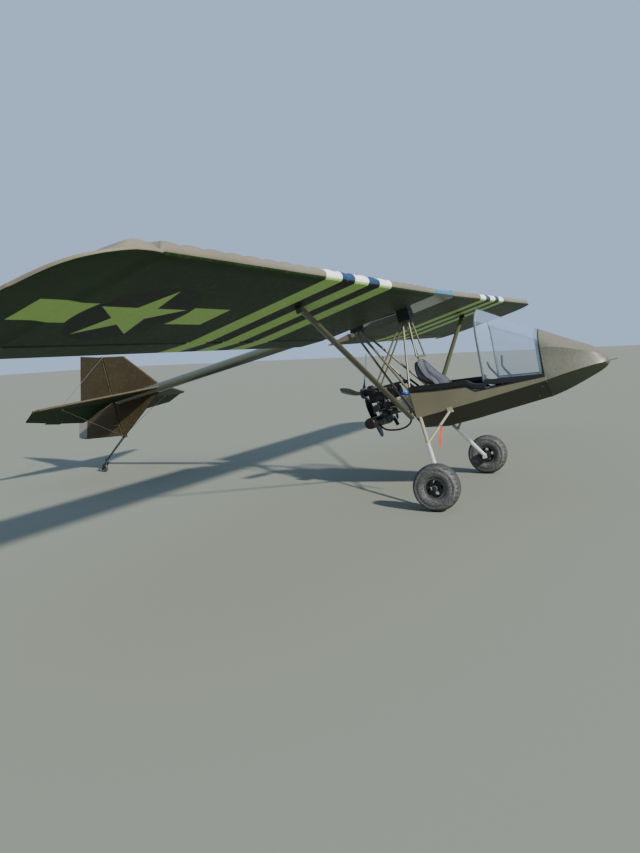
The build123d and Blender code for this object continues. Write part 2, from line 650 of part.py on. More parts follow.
# Main undercarriage: leg, drag brace and stub axle, port side
axle_in = half_track - tyre_w / 2 - 34
leg_top = (pod_rear + 20, 262.0, 790.0)
leg_foot = (axle_x, axle_in - 6, axle_z + 2)
leg = rod(leg_top, leg_foot, leg_d / 2)
sleeve_top = tuple(a + 0.50 * (b - a) for a, b in zip(leg_top, leg_foot))
leg += rod(sleeve_top, leg_foot, leg_d / 2 + 3)
leg += box(axle_x - 22, axle_x + 22, axle_in - 26, axle_in + 4, axle_z - 24, axle_z + 26)
leg += rod((axle_x, axle_in, axle_z), (axle_x, half_track + rim_w / 2 + 14, axle_z), axle_r)
leg += rod((axle_x, half_track + rim_w / 2 + 6, axle_z), (axle_x, half_track + rim_w / 2 + 16, axle_z), 18)
mid = tuple(a + 0.42 * (b - a) for a, b in zip(leg_top, leg_foot))
brace_end = (140.0, 282.0, 770.0)
leg += rod(mid, brace_end, 12.0) + rod(tuple(a + 0.40 * (b - a) for a, b in zip(leg_top, leg_foot)),
                                       tuple(a + 0.44 * (b - a) for a, b in zip(leg_top,
                                                                                leg_foot)), leg_d / 2 + 4)
leg += rod((axle_x, axle_in - 2, axle_z), (axle_x, axle_in + 26, axle_z), 56)
leg += box(brace_end[0] - 24, brace_end[0] + 24, 262, 296, 752, 800)
leg = leg - tub - nodes["cabane_front"] - nodes["cabane_rear"] - strut
leg = leg.solids().sort_by(lambda s: s.volume)[-1]
nodes["gear_leg_left"] = Part([leg])
nodes["gear_leg_right"] = mirror(nodes["gear_leg_left"], about=Plane.XZ)


def wheel(y, x, z, r, w, hub_radius, hub_width, bore, crown, dish, lobes):
    """A tyre and its rim about a cross axis. Returns both."""
    # half section from the bead out to the tread: radius, distance from the wheel's middle
    half = [(hub_radius, hub_width / 2), (0.5 * (hub_radius + r), w / 2), (r - crown, 0.4 * w), (r,
                                                                                                 0.2 * w)]
    section = half + [(a, -b) for a, b in reversed(half)]
    tyre = Part([Solid.revolve(Face(Wire.make_polygon([Vector(a, b, 0) for a, b in section], close=True)),
                               360, Axis.Y)])
    # rim: radius, distance outboard of the wheel's middle
    lip, wall = hub_width / 2 + 0.05 * hub_width, 0.07 * hub_radius
    outline = [(hub_radius, -lip), (hub_radius, lip), (hub_radius - wall, lip), (hub_radius - 2 * wall,
                                                                                 lip - 2 * wall),
               (hub_radius - 2 * wall, dish + wall), (bore + 2.6 * wall, dish + wall), (bore + 2.6 * wall,
                                                                                        lip - 2 * wall),
               (bore, lip - 2 * wall), (bore, -lip + wall), (bore + 2.6 * wall,
                                                             -lip + wall), (bore + 2.6 * wall, dish),
               (hub_radius - 2 * wall, dish), (hub_radius - 2 * wall,
                                               -lip + 2 * wall), (hub_radius - wall, -lip)]
    rim = Part([Solid.revolve(Face(Wire.make_polygon([Vector(a, b, 0) for a, b in outline], close=True)),
                              360, Axis.Y)])
    middle = 0.5 * (bore + hub_radius)
    for i in range(lobes):
        a = 2 * math.pi * i / lobes
        hole = (middle * math.cos(a), middle * math.sin(a))
        rim -= rod((hole[0], dish - 5, hole[1]), (hole[0], dish + wall + 5, hole[1]), 0.19 * hub_radius)
        a += math.pi / lobes
        stud = (0.8 * middle * math.cos(a), 0.8 * middle * math.sin(a))
        rim += rod((stud[0], dish + wall - 1, stud[1]), (stud[0], dish + 2.4 * wall, stud[1]),
                   0.07 * hub_radius)
    return Pos(x, y, z) * tyre, Pos(x, y, z) * rim


tyre, rim = wheel(half_track, axle_x, axle_z, tyre_r, tyre_w, rim_r, rim_w, axle_r + running, 26, 14, 4)
nodes["tyre_left"], nodes["rim_left"] = tyre, rim
nodes["tyre_right"], nodes["rim_right"] = mirror(tyre, about=Plane.XZ), mirror(rim, about=Plane.XZ)

# Tail surfaces: X, Z outlines for the fins and the rudder


def on_centre(x, z):
    return (x, 0, z)


post_r = 13.0
post_front = tail_hinge_x + post_r + swing_gap
# outlines: x, z
fin_up = tube_edged([(tail_hinge_x + 791, boom_z + 6), (tail_hinge_x + 340, fin_top_z - 77),
                     (post_front, fin_top_z), (post_front, boom_z + 6)], fin_t, on_centre, (0, 1, 0))
fin_down = tube_edged([(tail_hinge_x + 812, boom_z - 6), (post_front, fin_foot_z - 4), (post_front,
                                                                                        boom_z - 6)], fin_t,
                      on_centre, (0, 1, 0))
fin = fin_up - boom
fin_low = fin_down - boom
torque_clear = rod((elevator_hinge_x, -60, boom_z), (elevator_hinge_x, 60, boom_z), 24)
fin = fin - torque_clear
fin_low = fin_low - torque_clear

rudder_low, rudder_high = fin_foot_z + 26, fin_top_z + 1
rudder_pts = [(tail_hinge_x - 3, rudder_high), (tail_hinge_x - 332, fin_top_z + 101),
              (tail_hinge_x - 678, fin_foot_z + 139), (tail_hinge_x - 572, fin_foot_z + 109),
              (tail_hinge_x - 3, rudder_low)]
rudder_blade = tube_edged(rudder_pts, 18, on_centre, (0, 1, 0))
rudder_post = rod((tail_hinge_x, 0, rudder_low - 4), (tail_hinge_x, 0, rudder_high + 6), post_r)
rudder = rudder_blade + rudder_post
rudder += box(tail_hinge_x - 62, tail_hinge_x, -72, 72, fin_foot_z + 160, fin_foot_z + 165)
rudder_lugs = (fin_foot_z + 82, fin_foot_z + 252, fin_top_z - 373, fin_top_z - 63)
for z in rudder_lugs:
    ring = rod((tail_hinge_x, 0, z - 5), (tail_hinge_x, 0, z + 5), 9) \
        + box(tail_hinge_x, post_front + 4, -4, 4, z - 5, z + 5)
    pin = rod((tail_hinge_x, 0, z - 14), (tail_hinge_x, 0, z + 14), pin_r)
    space = rod((tail_hinge_x, 0, z - 7), (tail_hinge_x, 0, z + 7), 22) \
        + rod((tail_hinge_x, 0, z - 16), (tail_hinge_x, 0, z + 16), pin_r + running)
    rudder = rudder - space
    if z > boom_z:
        fin = fin + ring + pin
    else:
        fin_low = fin_low + ring + pin
nodes["fin_upper"] = fin
nodes["fin_lower"] = fin_low
nodes["rudder"] = rudder

# Stabiliser halves and elevator
elev_r = 13.0
stab_rear = elevator_hinge_x + elev_r + swing_gap


def on_stabiliser(x, y):
    return (x, y, boom_z)


stab = tube_edged([(stab_root_x, 30), (stab_tip_x, stab_half - 10), (stab_rear, stab_half + 8),
                   (stab_rear, 30)], stab_t,
                  on_stabiliser, (0, 0, 1))
stab = stab - boom - fin - fin_low
# half elevator: x, y
elev_pts = [(elevator_hinge_x, 70), (elevator_hinge_x, stab_half + 8), (elevator_hinge_x - 208,
                                                                        stab_half - 34),
            (elevator_hinge_x - 0.82 * elevator_chord,
             0.51 * stab_half), (elevator_hinge_x - elevator_chord, 205)]
elev = tube_edged(elev_pts, 16, on_stabiliser, (0, 0, 1)) \
    + rod((elevator_hinge_x, 62, boom_z), (elevator_hinge_x, stab_half + 8, boom_z), elev_r)
elev_lugs = (260.0, 640.0, 1060.0)
for y in elev_lugs:
    ring = rod((elevator_hinge_x, y - 5, boom_z), (elevator_hinge_x, y + 5, boom_z), 9) \
        + box(elevator_hinge_x, stab_rear + 4, y - 5, y + 5, boom_z - 4, boom_z + 4)
    pin = rod((elevator_hinge_x, y - 14, boom_z), (elevator_hinge_x, y + 14, boom_z), pin_r)
    stab = stab + ring + pin
    elev = elev - rod((elevator_hinge_x, y - 7, boom_z), (elevator_hinge_x, y + 7, boom_z), 22) \
        - rod((elevator_hinge_x, y - 16, boom_z), (elevator_hinge_x, y + 16, boom_z), pin_r + running)
elevator = both(elev) + rod((elevator_hinge_x, -64, boom_z), (elevator_hinge_x, 64, boom_z), 12)
# trim tab on the starboard half: its outer and inner end, and the chord there
trim_out, trim_in, trim_rear = 855.0, 600.0, 0.82 * elevator_chord + 22
tab = Face(Wire.make_polygon([Vector(elevator_hinge_x - a, y, boom_z - 1.5) for a, y in (
    (trim_rear - 90, -trim_out), (trim_rear - 60, -trim_in), (trim_rear + 6, -trim_in), (trim_rear - 50,
                                                                                         -trim_out))],
    close=True))
elevator += Part([Solid.extrude(tab, Vector(0, 0, 3))])
hinge_axis = Axis((elevator_hinge_x, 0, boom_z), (0, 1, 0))
elevator = elevator.rotate(hinge_axis, -elevator_droop)
nodes["stabiliser_left"] = stab
nodes["stabiliser_right"] = mirror(stab, about=Plane.XZ)
nodes["elevator"] = elevator

# Tail wheel: sprung rods from the lower fin, swivelling fork, wheel
spring_top = (post_front + 18, 16, fin_foot_z + 16)
swivel = (tail_wheel_x + 65.0, 0, tail_wheel_z + 85.0)
spring = both(rod(spring_top, (swivel[0] + 22, 9, swivel[2] + 6), 6.0))
swivel_low, swivel_high = swivel[2] - 22, swivel[2] + 24
spring += rod((swivel[0], 0, swivel_low), (swivel[0], 0, swivel_high), 13) + box(swivel[0],
                                                                                 swivel[0] + 30, -16, 16,
                                                                          swivel[2] - 6, swivel[2] + 14)
spring += box(post_front - 4, post_front + 40, -22, 22, fin_foot_z - 4, fin_foot_z + 24)
spring = spring - fin_low
stem_r = 6.0
spring = spring - rod((swivel[0], 0, swivel_low - 1), (swivel[0], 0, swivel_high + 1), stem_r + running)
nodes["tail_spring"] = spring
fork_in = tail_wheel_w / 2 + 4
fork = rod((swivel[0], 0, swivel_low - 10), (swivel[0], 0, swivel_high + 8), stem_r)
fork += rod((swivel[0], 0, swivel_high + running), (swivel[0], 0, swivel_high + 8), 10)
fork += box(swivel[0] - 16, swivel[0] + 14, -fork_in - 5, fork_in + 5, swivel_low - 14,
            swivel_low - running)
cheek = Wire.make_polygon([Vector(swivel[0] + 14, fork_in, swivel_low - 4), Vector(swivel[0] - 16,
                                                                                   fork_in, swivel_low - 4),
                           Vector(tail_wheel_x - 12, fork_in, tail_wheel_z - 6),
                           Vector(tail_wheel_x + 12, fork_in, tail_wheel_z - 12)], close=True)
fork += both(Part([Solid.extrude(Face(cheek), Vector(0, 5, 0))]))
fork += rod((tail_wheel_x, -fork_in - 5, tail_wheel_z), (tail_wheel_x, fork_in + 5, tail_wheel_z), 5)
nodes["tail_fork"] = fork
t_tyre, t_rim = wheel(0, tail_wheel_x, tail_wheel_z, tail_wheel_r, tail_wheel_w, 26, 24, 5 + running, 8,
                      2, 3)
nodes["tail_tyre"], nodes["tail_rim"] = t_tyre, t_rim

# Skylight between the wing roots
sky_half = half_gap - 3
sky = Part([Solid.extrude(wing_face(0), Vector(0, sky_half * 2, 0))])
sky = sky - Part([Solid.extrude(wing_face(-1, inward=4.0), Vector(0, sky_half * 2 + 2, 0))])
sky = sky - box(-1300, -560, -10, sky_half * 2 + 10, -60, 300)
sky = Pos(wing_x, -sky_half, wing_z) * Rot(0, -incidence, 0) * sky
sky = sky - box(-1200, spar_x, -400, 400, wing_z - 195, spar_z + 20) - spar_bracket - boom
nodes["skylight"] = largest(sky)

# Controls seen through the windscreen
stick = chain([(600, 0, 700), (560, 0, 960), (505, 0, 1060), (500, 0, 1110)], 9) + box(570, 640, -30, 30,
                                                                                       640, 712)
nodes["control_stick"] = largest(stick - tub)
pedal_x = pod_split - 100.0
pedals = rod((pedal_x, -120, 720), (pedal_x, 120, 720), 8)
pedals += both(rod((pedal_x, 80, 720), (pedal_x + 40, 80, 860), 7) + box(pedal_x + 30, pedal_x + 45, 50,
                                                                         112, 840, 900)
               + rod((pedal_x, 118, 720), (pedal_x, 118, 665), 8))
nodes["rudder_pedals"] = largest(pedals - tub)

# Park it: pitch until main wheels and tail wheel stand on one plane
dx, dz, dr = axle_x - tail_wheel_x, axle_z - tail_wheel_z, tyre_r - tail_wheel_r
pitch = math.asin(dr / math.hypot(dx, dz)) - math.atan2(dz, dx)
sin_p, cos_p = math.sin(pitch), math.cos(pitch)
ground = -(axle_x * sin_p + axle_z * cos_p) + tyre_r
posed = {name: Pos(0, 0, ground) * Part(solid.wrapped if hasattr(solid, "wrapped") else solid).rotate(
    Axis.Y, -math.degrees(pitch)) for name, solid in nodes.items()}
low = min(s.bounding_box().min.X for s in posed.values())
high = max(s.bounding_box().max.X for s in posed.values())
shift = -(low + high) / 2
for name, solid in posed.items():
    export_step(Pos(shift, 0, 0) * solid, f"parts/{name}.step")


def parked(p):
    x, y, z = p
    return (x * cos_p - z * sin_p + shift, y, x * sin_p + z * cos_p + ground)


def parked_dir(d):
    x, y, z = d
    return (x * cos_p - z * sin_p, y, x * sin_p + z * cos_p)


g = math.radians(dihedral)
pivots = {
    "flap_left": (wing_point(hinge_u, flap_inner, hinge_w), (0, math.cos(g), math.sin(g))),
    "aileron_left": (wing_point(hinge_u, flap_outer, hinge_w), (0, math.cos(g), math.sin(g))),
    "elevator": ((elevator_hinge_x, 0, boom_z), (0, 1, 0)),
    "rudder": ((tail_hinge_x, 0, boom_z), (0, 0, 1)),
    "propeller": ((prop_x, 0, prop_z), (1, 0, 0)),
    "wheel_left": ((axle_x, half_track, axle_z), (0, 1, 0)),
    "tail_fork": ((swivel[0], 0, swivel[2]), (0, 0, 1)),
    "tail_wheel": ((tail_wheel_x, 0, tail_wheel_z), (0, 1, 0)),
}
for name, (point, axis) in pivots.items():
    p, d = parked(point), parked_dir(axis)
    print("pivot", name, *(round(v / 1000, 6) for v in p), *(round(v, 7) for v in d))
print("parked pitch", round(math.degrees(pitch), 3), "shift", round(shift, 3), "ground", round(ground, 3))
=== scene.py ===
"""Looks of a single-seat pod-and-boom ultralight: camera, light, finishes and the fine pieces."""
import math

import bmesh
import bpy
from mathutils import Matrix, Vector


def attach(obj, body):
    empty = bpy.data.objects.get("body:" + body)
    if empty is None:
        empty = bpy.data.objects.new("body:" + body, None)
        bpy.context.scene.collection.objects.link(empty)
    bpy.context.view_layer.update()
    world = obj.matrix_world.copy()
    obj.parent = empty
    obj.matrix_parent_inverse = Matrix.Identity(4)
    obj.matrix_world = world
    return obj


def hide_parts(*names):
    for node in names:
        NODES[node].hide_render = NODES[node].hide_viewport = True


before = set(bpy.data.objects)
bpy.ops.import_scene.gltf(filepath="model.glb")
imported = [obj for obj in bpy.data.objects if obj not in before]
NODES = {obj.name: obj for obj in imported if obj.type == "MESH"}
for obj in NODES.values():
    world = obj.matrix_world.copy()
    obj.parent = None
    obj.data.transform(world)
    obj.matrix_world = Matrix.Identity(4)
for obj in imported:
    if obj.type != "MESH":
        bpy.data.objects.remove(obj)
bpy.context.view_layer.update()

# The level attitude that the airframe is drawn in, in millimetres, and how it is parked
PITCH = math.radians(13.289)
SIN_P, COS_P = math.sin(PITCH), math.cos(PITCH)
SHIFT, GROUND = 1.788336, -0.000325
LEVEL = Matrix(((COS_P, 0, -SIN_P, SHIFT * 1000), (0, 1, 0, 0), (SIN_P, 0, COS_P, GROUND * 1000), (0, 0, 0, 1000))) * 0.001
INCIDENCE, DIHEDRAL = math.radians(4.0), math.radians(0.45)
WING_X, WING_Z, HALF_GAP = 259.0, 1795.0, 287.0


def parked(x, y, z):
    """From the level attitude in millimetres to the place in the scene."""
    return LEVEL @ Vector((x, y, z))


def wing_frame(side):
    """Places a piece drawn in the wing's own frame: X forward, Y out from the root rib, Z up, millimetres."""
    put = Matrix.Translation((WING_X, side * HALF_GAP, WING_Z))
    return LEVEL @ put @ Matrix.Scale(side, 4, (0, 1, 0)) @ Matrix.Rotation(DIHEDRAL, 4, "X") \
        @ Matrix.Rotation(-INCIDENCE, 4, "Y")


WING = {"left": wing_frame(1), "right": wing_frame(-1)}


# Camera
CAM_AT = Vector((3.5975, -6.3573, 1.4241))
CAM_YAW, CAM_PITCH, CAM_ROLL = 0.4814, 0.1159, -0.0522
CAM_FOCAL_PX = 700.06


def add_camera():
    cam = bpy.data.cameras.new("camera")
    cam.sensor_fit = "HORIZONTAL"
    cam.sensor_width = 36.0
    cam.lens = 36.0 * CAM_FOCAL_PX / 640.0
    cam.clip_end = 200.0
    obj = bpy.data.objects.new("camera", cam)
    bpy.context.scene.collection.objects.link(obj)
    cy, sy, cp, sp = math.cos(CAM_YAW), math.sin(CAM_YAW), math.cos(CAM_PITCH), math.sin(CAM_PITCH)
    ahead = Vector((-sy * cp, cy * cp, -sp))
    side = Vector((cy, sy, 0.0))
    over = side.cross(ahead)
    cr, sr = math.cos(CAM_ROLL), math.sin(CAM_ROLL)
    right = side * cr + over * sr
    up = -side * sr + over * cr
    turn = Matrix((right, up, -ahead)).transposed()
    obj.matrix_world = Matrix.Translation(CAM_AT) @ turn.to_4x4()
    bpy.context.scene.camera = obj


add_camera()


# Shader arithmetic
class Wire:
    """One socket of a finish's node tree, usable in plain arithmetic."""

    def __init__(self, paint, socket):
        self.paint, self.socket = paint, socket

    def _math(self, operation, *others):
        return self.paint.node("ShaderNodeMath", {"operation": operation}, *others)

    def __add__(self, o): return self._math("ADD", self, o)
    def __radd__(self, o): return self._math("ADD", o, self)
    def __sub__(self, o): return self._math("SUBTRACT", self, o)
    def __rsub__(self, o): return self._math("SUBTRACT", o, self)
    def __mul__(self, o): return self._math("MULTIPLY", self, o)
    def __rmul__(self, o): return self._math("MULTIPLY", o, self)
    def __truediv__(self, o): return self._math("DIVIDE", self, o)
    def __neg__(self): return self._math("MULTIPLY", self, -1.0)
    def above(self, o): return self._math("GREATER_THAN", self, o)
    def below(self, o): return self._math("LESS_THAN", self, o)
    def size(self): return self._math("ABSOLUTE", self)
    def sine(self): return self._math("SINE", self)
    def power(self, o): return self._math("POWER", self, o)
    def least(self, o): return self._math("MINIMUM", self, o)
    def most(self, o): return self._math("MAXIMUM", self, o)
    def remainder(self, o): return self._math("FLOORED_MODULO", self, o)

    def ramp(self, low, high, to_low=0.0, to_high=1.0):
        """Goes from to_low to to_high while this goes from low to high."""
        return self.paint.node("ShaderNodeMapRange", {"clamp": True}, self, low, high, to_low, to_high)


class Paint:
    """A finish: a material with its tree, one Principled shader and helpers that return wires."""

    def __init__(self, name):
        self.material = bpy.data.materials.new(name)
        self.material.use_nodes = True
        self.tree = self.material.node_tree
        self.shader = next(n for n in self.tree.nodes if n.type == "BSDF_PRINCIPLED")
        coords = self.tree.nodes.new("ShaderNodeTexCoord")
        self.place = Wire(self, coords.outputs["Object"])
        split = self.tree.nodes.new("ShaderNodeSeparateXYZ")
        self.tree.links.new(coords.outputs["Object"], split.inputs[0])
        self.x, self.y, self.z = (Wire(self, split.outputs[i]) for i in range(3))
        turn = self.tree.nodes.new("ShaderNodeSeparateXYZ")
        self.tree.links.new(coords.outputs["Normal"], turn.inputs[0])
        self.nx, self.ny, self.nz = (Wire(self, turn.outputs[i]) for i in range(3))

    def node(self, kind, settings, *values, out=0, **named):
        n = self.tree.nodes.new(kind)
        for key, value in settings.items():
            setattr(n, key, value)
        pairs = list(enumerate(values)) + list(named.items())
        for key, value in pairs:
            socket = n.inputs[key.replace("_", " ")] if isinstance(key, str) else n.inputs[key]
            if isinstance(value, Wire):
                self.tree.links.new(value.socket, socket)
            else:
                socket.default_value = value
        return Wire(self, n.outputs[out])

    def mix(self, factor, a, b):
        """Colour a where factor is 0, b where it is 1."""
        n = self.tree.nodes.new("ShaderNodeMix")
        n.data_type = "RGBA"
        for socket, value in ((n.inputs[0], factor), (n.inputs[6], a), (n.inputs[7], b)):
            if isinstance(value, Wire):
                self.tree.links.new(value.socket, socket)
            elif isinstance(value, (int, float)):
                socket.default_value = value
            else:
                socket.default_value = (*value[:3], 1.0)
        return Wire(self, n.outputs[2])

    def noise(self, scale, detail=3.0, roughness=0.55, stretch=None):
        place = self.place
        if stretch:
            place = self.node("ShaderNodeVectorMath", {"operation": "MULTIPLY"}, place, stretch)
        return self.node("ShaderNodeTexNoise", {}, Vector=place, Scale=scale, Detail=detail, Roughness=roughness)

    def bump(self, height, strength=0.3, distance=0.002):
        b = self.node("ShaderNodeBump", {}, Strength=strength, Distance=distance, Height=height)
        self.tree.links.new(b.socket, self.shader.inputs["Normal"])

    def set(self, **values):
        for key, value in values.items():
            socket = self.shader.inputs[key.replace("_", " ")]
            if isinstance(value, Wire):
                self.tree.links.new(value.socket, socket)
            elif isinstance(value, (tuple, list)):
                socket.default_value = (*value[:3], 1.0) if len(socket.default_value) == 4 else value
            else:
                socket.default_value = value
        return self


def dress(finish, *names):
    for name in names:
        mesh = NODES[name].data
        mesh.materials.clear()
        mesh.materials.append(finish.material)


# Colours. The undersides' colours are the same cloth in painted shade, with a painted green reflection of the grass
OLIVE = (0.168, 0.152, 0.112)
OLIVE_PAINTED_SHADE = (0.007, 0.027, 0.004)
TAIL_OLIVE = (0.058, 0.043, 0.019)
WHITE, WHITE_PAINTED_SHADE = (0.86, 0.86, 0.86), (0.360, 0.560, 0.150)
NIGHT, NIGHT_PAINTED_SHADE = (0.016, 0.045, 0.11), (0.004, 0.009, 0.006)

# Wing markings, in metres: stripe edges out from the centre line, roundel, bars
STRIPES = (1.323, 1.552, 1.754, 1.982, 2.186, 2.413)
ROUNDEL_OUT, ROUNDEL_BACK, ROUNDEL_R, STAR_R = 3.437, 0.669, 0.378, 0.346
BAR_FRONT, BAR_REAR, BAR_CUT, BAR_END = 0.530, 0.785, 0.395, 0.722
RIB_PITCH, RIB_LAST = 0.1719, 3.687


def within(value, low, high):
    return value.above(low) * value.below(high)


def wing_back(p):
    """How far behind the lower front edge of the wing a point is, in metres."""
    a = PITCH + INCIDENCE
    start = WING_X / 1000 * math.cos(INCIDENCE) + WING_Z / 1000 * math.sin(INCIDENCE)
    start += SHIFT * math.cos(a) + GROUND * math.sin(a)
    return start - p.x * math.cos(a) - p.z * math.sin(a)


def star_and_bars(p):
    """Masks of the star with its bars, and of the disc behind the star."""
    ahead, out = ROUNDEL_BACK - wing_back(p), p.y.size() - ROUNDEL_OUT
    reach = (ahead * ahead + out * out).power(0.5)
    sides = 0.0
    for i in range(5):
        a = math.radians(72 * i)
        sides = (ahead * math.cos(a) + out * math.sin(a)).below(STAR_R * math.cos(math.radians(72))) + sides
    star = sides.above(3.5) * reach.below(STAR_R)
    bars = within(-ahead + ROUNDEL_BACK, BAR_FRONT, BAR_REAR) * out.size().below(BAR_END) * reach.above(BAR_CUT)
    return star.most(bars), reach.below(ROUNDEL_R)


def wing_cloth(name, star_above, star_below):
    p = Paint(name)
    out = p.y.size()
    white = within(out, STRIPES[0], STRIPES[1]) + within(out, STRIPES[2], STRIPES[3]) + within(out, STRIPES[4], STRIPES[5])
    night = within(out, STRIPES[1], STRIPES[2]) + within(out, STRIPES[3], STRIPES[4])
    below = p.nz.below(-0.30)
    star, disc = star_and_bars(p)
    here = below * star_below + (1 - below) * star_above
    white = white.most(star * here)
    night = night.most(disc * here * (1 - star))
    broad, fine = p.noise(1.4, 4.0), p.noise(26.0, 5.0)
    top = p.mix(broad.ramp(0.35, 0.65), tuple(c * 0.90 for c in OLIVE), tuple(c * 1.08 for c in OLIVE))
    # down-facing cloth: darker, greener colours as painted shade and a painted reflection of the grass
    painted_shade_under = p.mix(broad.ramp(0.3, 0.7), tuple(c * 0.72 for c in OLIVE_PAINTED_SHADE), tuple(c * 1.35 for c in OLIVE_PAINTED_SHADE))
    colour = p.mix(below, top, painted_shade_under)
    colour = p.mix(white, colour, p.mix(below, WHITE, WHITE_PAINTED_SHADE))
    colour = p.mix(night, colour, p.mix(below, NIGHT, NIGHT_PAINTED_SHADE))
    # tapes over the ribs, a finger wide, and flecks of dust
    bay = (out - (HALF_GAP / 1000 + RIB_LAST) + 40 * RIB_PITCH).remainder(RIB_PITCH)
    tape = bay.below(0.011).most(bay.above(RIB_PITCH - 0.011))
    seam = within(bay, 0.0105, 0.0118).most(within(bay, RIB_PITCH - 0.0118, RIB_PITCH - 0.0105))
    colour = p.mix(seam * 0.22, colour, (0.02, 0.02, 0.015))
    colour = p.mix(fine.ramp(0.45, 0.75, 0.0, 0.10), colour, (0.25, 0.24, 0.19))
    p.set(Base_Color=colour, Roughness=fine.ramp(0.3, 0.7, 0.42, 0.58), Coat_Weight=0.0, Specular_IOR_Level=0.16)
    weave = p.noise(1400.0, 2.0) * 0.12 + tape * 0.5 + p.noise(9.0, 3.0) * 0.6
    p.bump(weave, 0.35, 0.0008)
    return p


def plain(name, colour, roughness, metallic=0.0, coat=0.0, grain=60.0, depth=0.1, spread=0.16):
    """A painted, moulded or metal surface with some variation of tone and gloss."""
    p = Paint(name)
    tone, cloud = p.noise(grain, 4.0), p.noise(grain / 12, 3.0)
    dark, light = tuple(c * (1 - spread) for c in colour), tuple(min(c * (1 + spread), 1) for c in colour)
    p.set(Base_Color=p.mix(tone * 0.5 + cloud * 0.5, dark, light), Metallic=metallic, Coat_Weight=coat,
          Roughness=tone.ramp(0.3, 0.7, roughness * 0.82, roughness * 1.15))
    p.bump(tone, depth, 0.0005)
    return p


def tail_finish():
    """Doped cloth with a faint weave, random tone and flecks of dust."""
    p = Paint("tail_cloth")
    broad, fine = p.noise(2.2, 4.0), p.noise(30.0, 5.0)
    colour = p.mix(broad.ramp(0.3, 0.7), tuple(c * 0.82 for c in TAIL_OLIVE), tuple(c * 1.14 for c in TAIL_OLIVE))
    # down-facing tail cloth takes the undersides' olive: painted shade with a painted reflection of the grass
    colour = p.mix(p.nz.below(-0.5), colour, OLIVE_PAINTED_SHADE)
    colour = p.mix(fine.ramp(0.5, 0.8, 0.0, 0.12), colour, (0.30, 0.28, 0.22))
    p.set(Base_Color=colour, Roughness=fine.ramp(0.3, 0.7, 0.45, 0.62), Specular_IOR_Level=0.2)
    p.bump(p.noise(1400.0, 2.0) * 0.15 + broad, 0.3, 0.0008)
    return p


def pod_finish(name, base):
    """Moulded olive shell: semi-gloss and a little dusty outside, lighter on up-facing parts as a painted highlight,
    its belly in painted shade, near black inside.
    """
    p = Paint(name)
    broad, fine = p.noise(3.0, 4.0), p.noise(45.0, 6.0)
    colour = p.mix(broad.ramp(0.3, 0.7), tuple(c * 0.88 for c in base), tuple(c * 1.12 for c in base))
    low = p.z.ramp(0.62, 0.80, 1.0, 0.0)
    dust = fine.ramp(0.48, 0.78) * (0.10 + 0.35 * low)
    # random dust, plus a painted highlight that lightens up-facing parts
    colour = p.mix(dust + p.nz.ramp(0.35, 0.80) * 0.30, colour, (0.30, 0.27, 0.20))
    inside = (p.y * p.ny).below(-0.003).most(p.nz.above(0.45) * p.y.size().below(0.26) * p.x.below(2.38))
    # down-facing belly near black-green: painted shade
    colour = p.mix(p.nz.below(-0.3) * 0.85, colour, (0.010, 0.014, 0.006))
    colour = p.mix(inside, colour, (0.012, 0.012, 0.012))
    p.set(Base_Color=colour, Roughness=fine.ramp(0.3, 0.75, 0.36, 0.52), Coat_Weight=0.12)
    p.bump(broad * 0.8 + fine * 0.15, 0.18, 0.0012)
    return p


def tyre_finish(name, centre, radius):
    """Rubber: black tread with cross sipes at its shoulders, greyed and dusty walls."""
    p = Paint(name)
    dx, dz = p.x - centre.x, p.z - centre.z
    reach = (dx * dx + dz * dz).power(0.5) / radius
    around = dx._math("ARCTAN2", dz)
    fine, broad = p.noise(120.0, 5.0), p.noise(9.0, 3.0)
    wall = reach.below(0.93)
    colour = p.mix(broad, (0.026, 0.027, 0.029), (0.046, 0.047, 0.050))
    dust = fine.ramp(0.42, 0.72) * (0.20 + wall * 0.55) * broad.ramp(0.3, 0.7, 0.4, 1.0)
    colour = p.mix(dust, colour, (0.32, 0.31, 0.285))
    sipes = (around * 84).sine().above(0.72) * reach.above(0.90) * (p.y - centre.y).size().above(0.036 * radius / 0.2)
    # the sipes are painted near black as painted shade in the cuts, and also cut into the bump
    colour = p.mix(sipes * 0.8, colour, (0.006, 0.006, 0.006))
    p.set(Base_Color=colour, Roughness=fine.ramp(0.3, 0.7, 0.55, 0.85))
    p.bump(fine * 0.25 - sipes + (reach * 90).sine() * wall * 0.12, 0.5, 0.0016)
    return p


def weave_finish(name, dark, light, scale=900.0):
    """Woven seat cloth."""
    p = Paint(name)
    a, b = (p.x * scale).sine() * (p.z * scale).sine(), (p.y * scale).sine()
    thread = (a + b) * 0.25 + 0.5
    fuzz, broad = p.noise(300.0, 4.0), p.noise(14.0, 3.0)
    colour = p.mix(thread * 0.5 + broad * 0.5, dark, light)
    p.set(Base_Color=colour, Roughness=fuzz.ramp(0.3, 0.7, 0.78, 0.95))
    p.bump(thread * 0.7 + fuzz * 0.4, 0.5, 0.0012)
    return p


def clear(name, colour, alpha, roughness=0.03, edge_alpha=0.55):
    """Clear sheet, denser towards its glancing edges, with faint scuffs. Its blue colour and denser edges are a painted
    reflection of the sky.
    """
    p = Paint(name)
    glance = p.node("ShaderNodeLayerWeight", {}, Blend=0.35)
    scuff = p.noise(70.0, 6.0).ramp(0.55, 0.75, 0.0, 0.06)
    p.set(Base_Color=colour, Roughness=p.noise(24.0, 4.0).ramp(0.3, 0.8, roughness, roughness + 0.06),
          Alpha=glance * (edge_alpha - alpha) + alpha + scuff)
    p.set(Specular_IOR_Level=0.7)
    p.material.surface_render_method = "DITHERED"
    return p


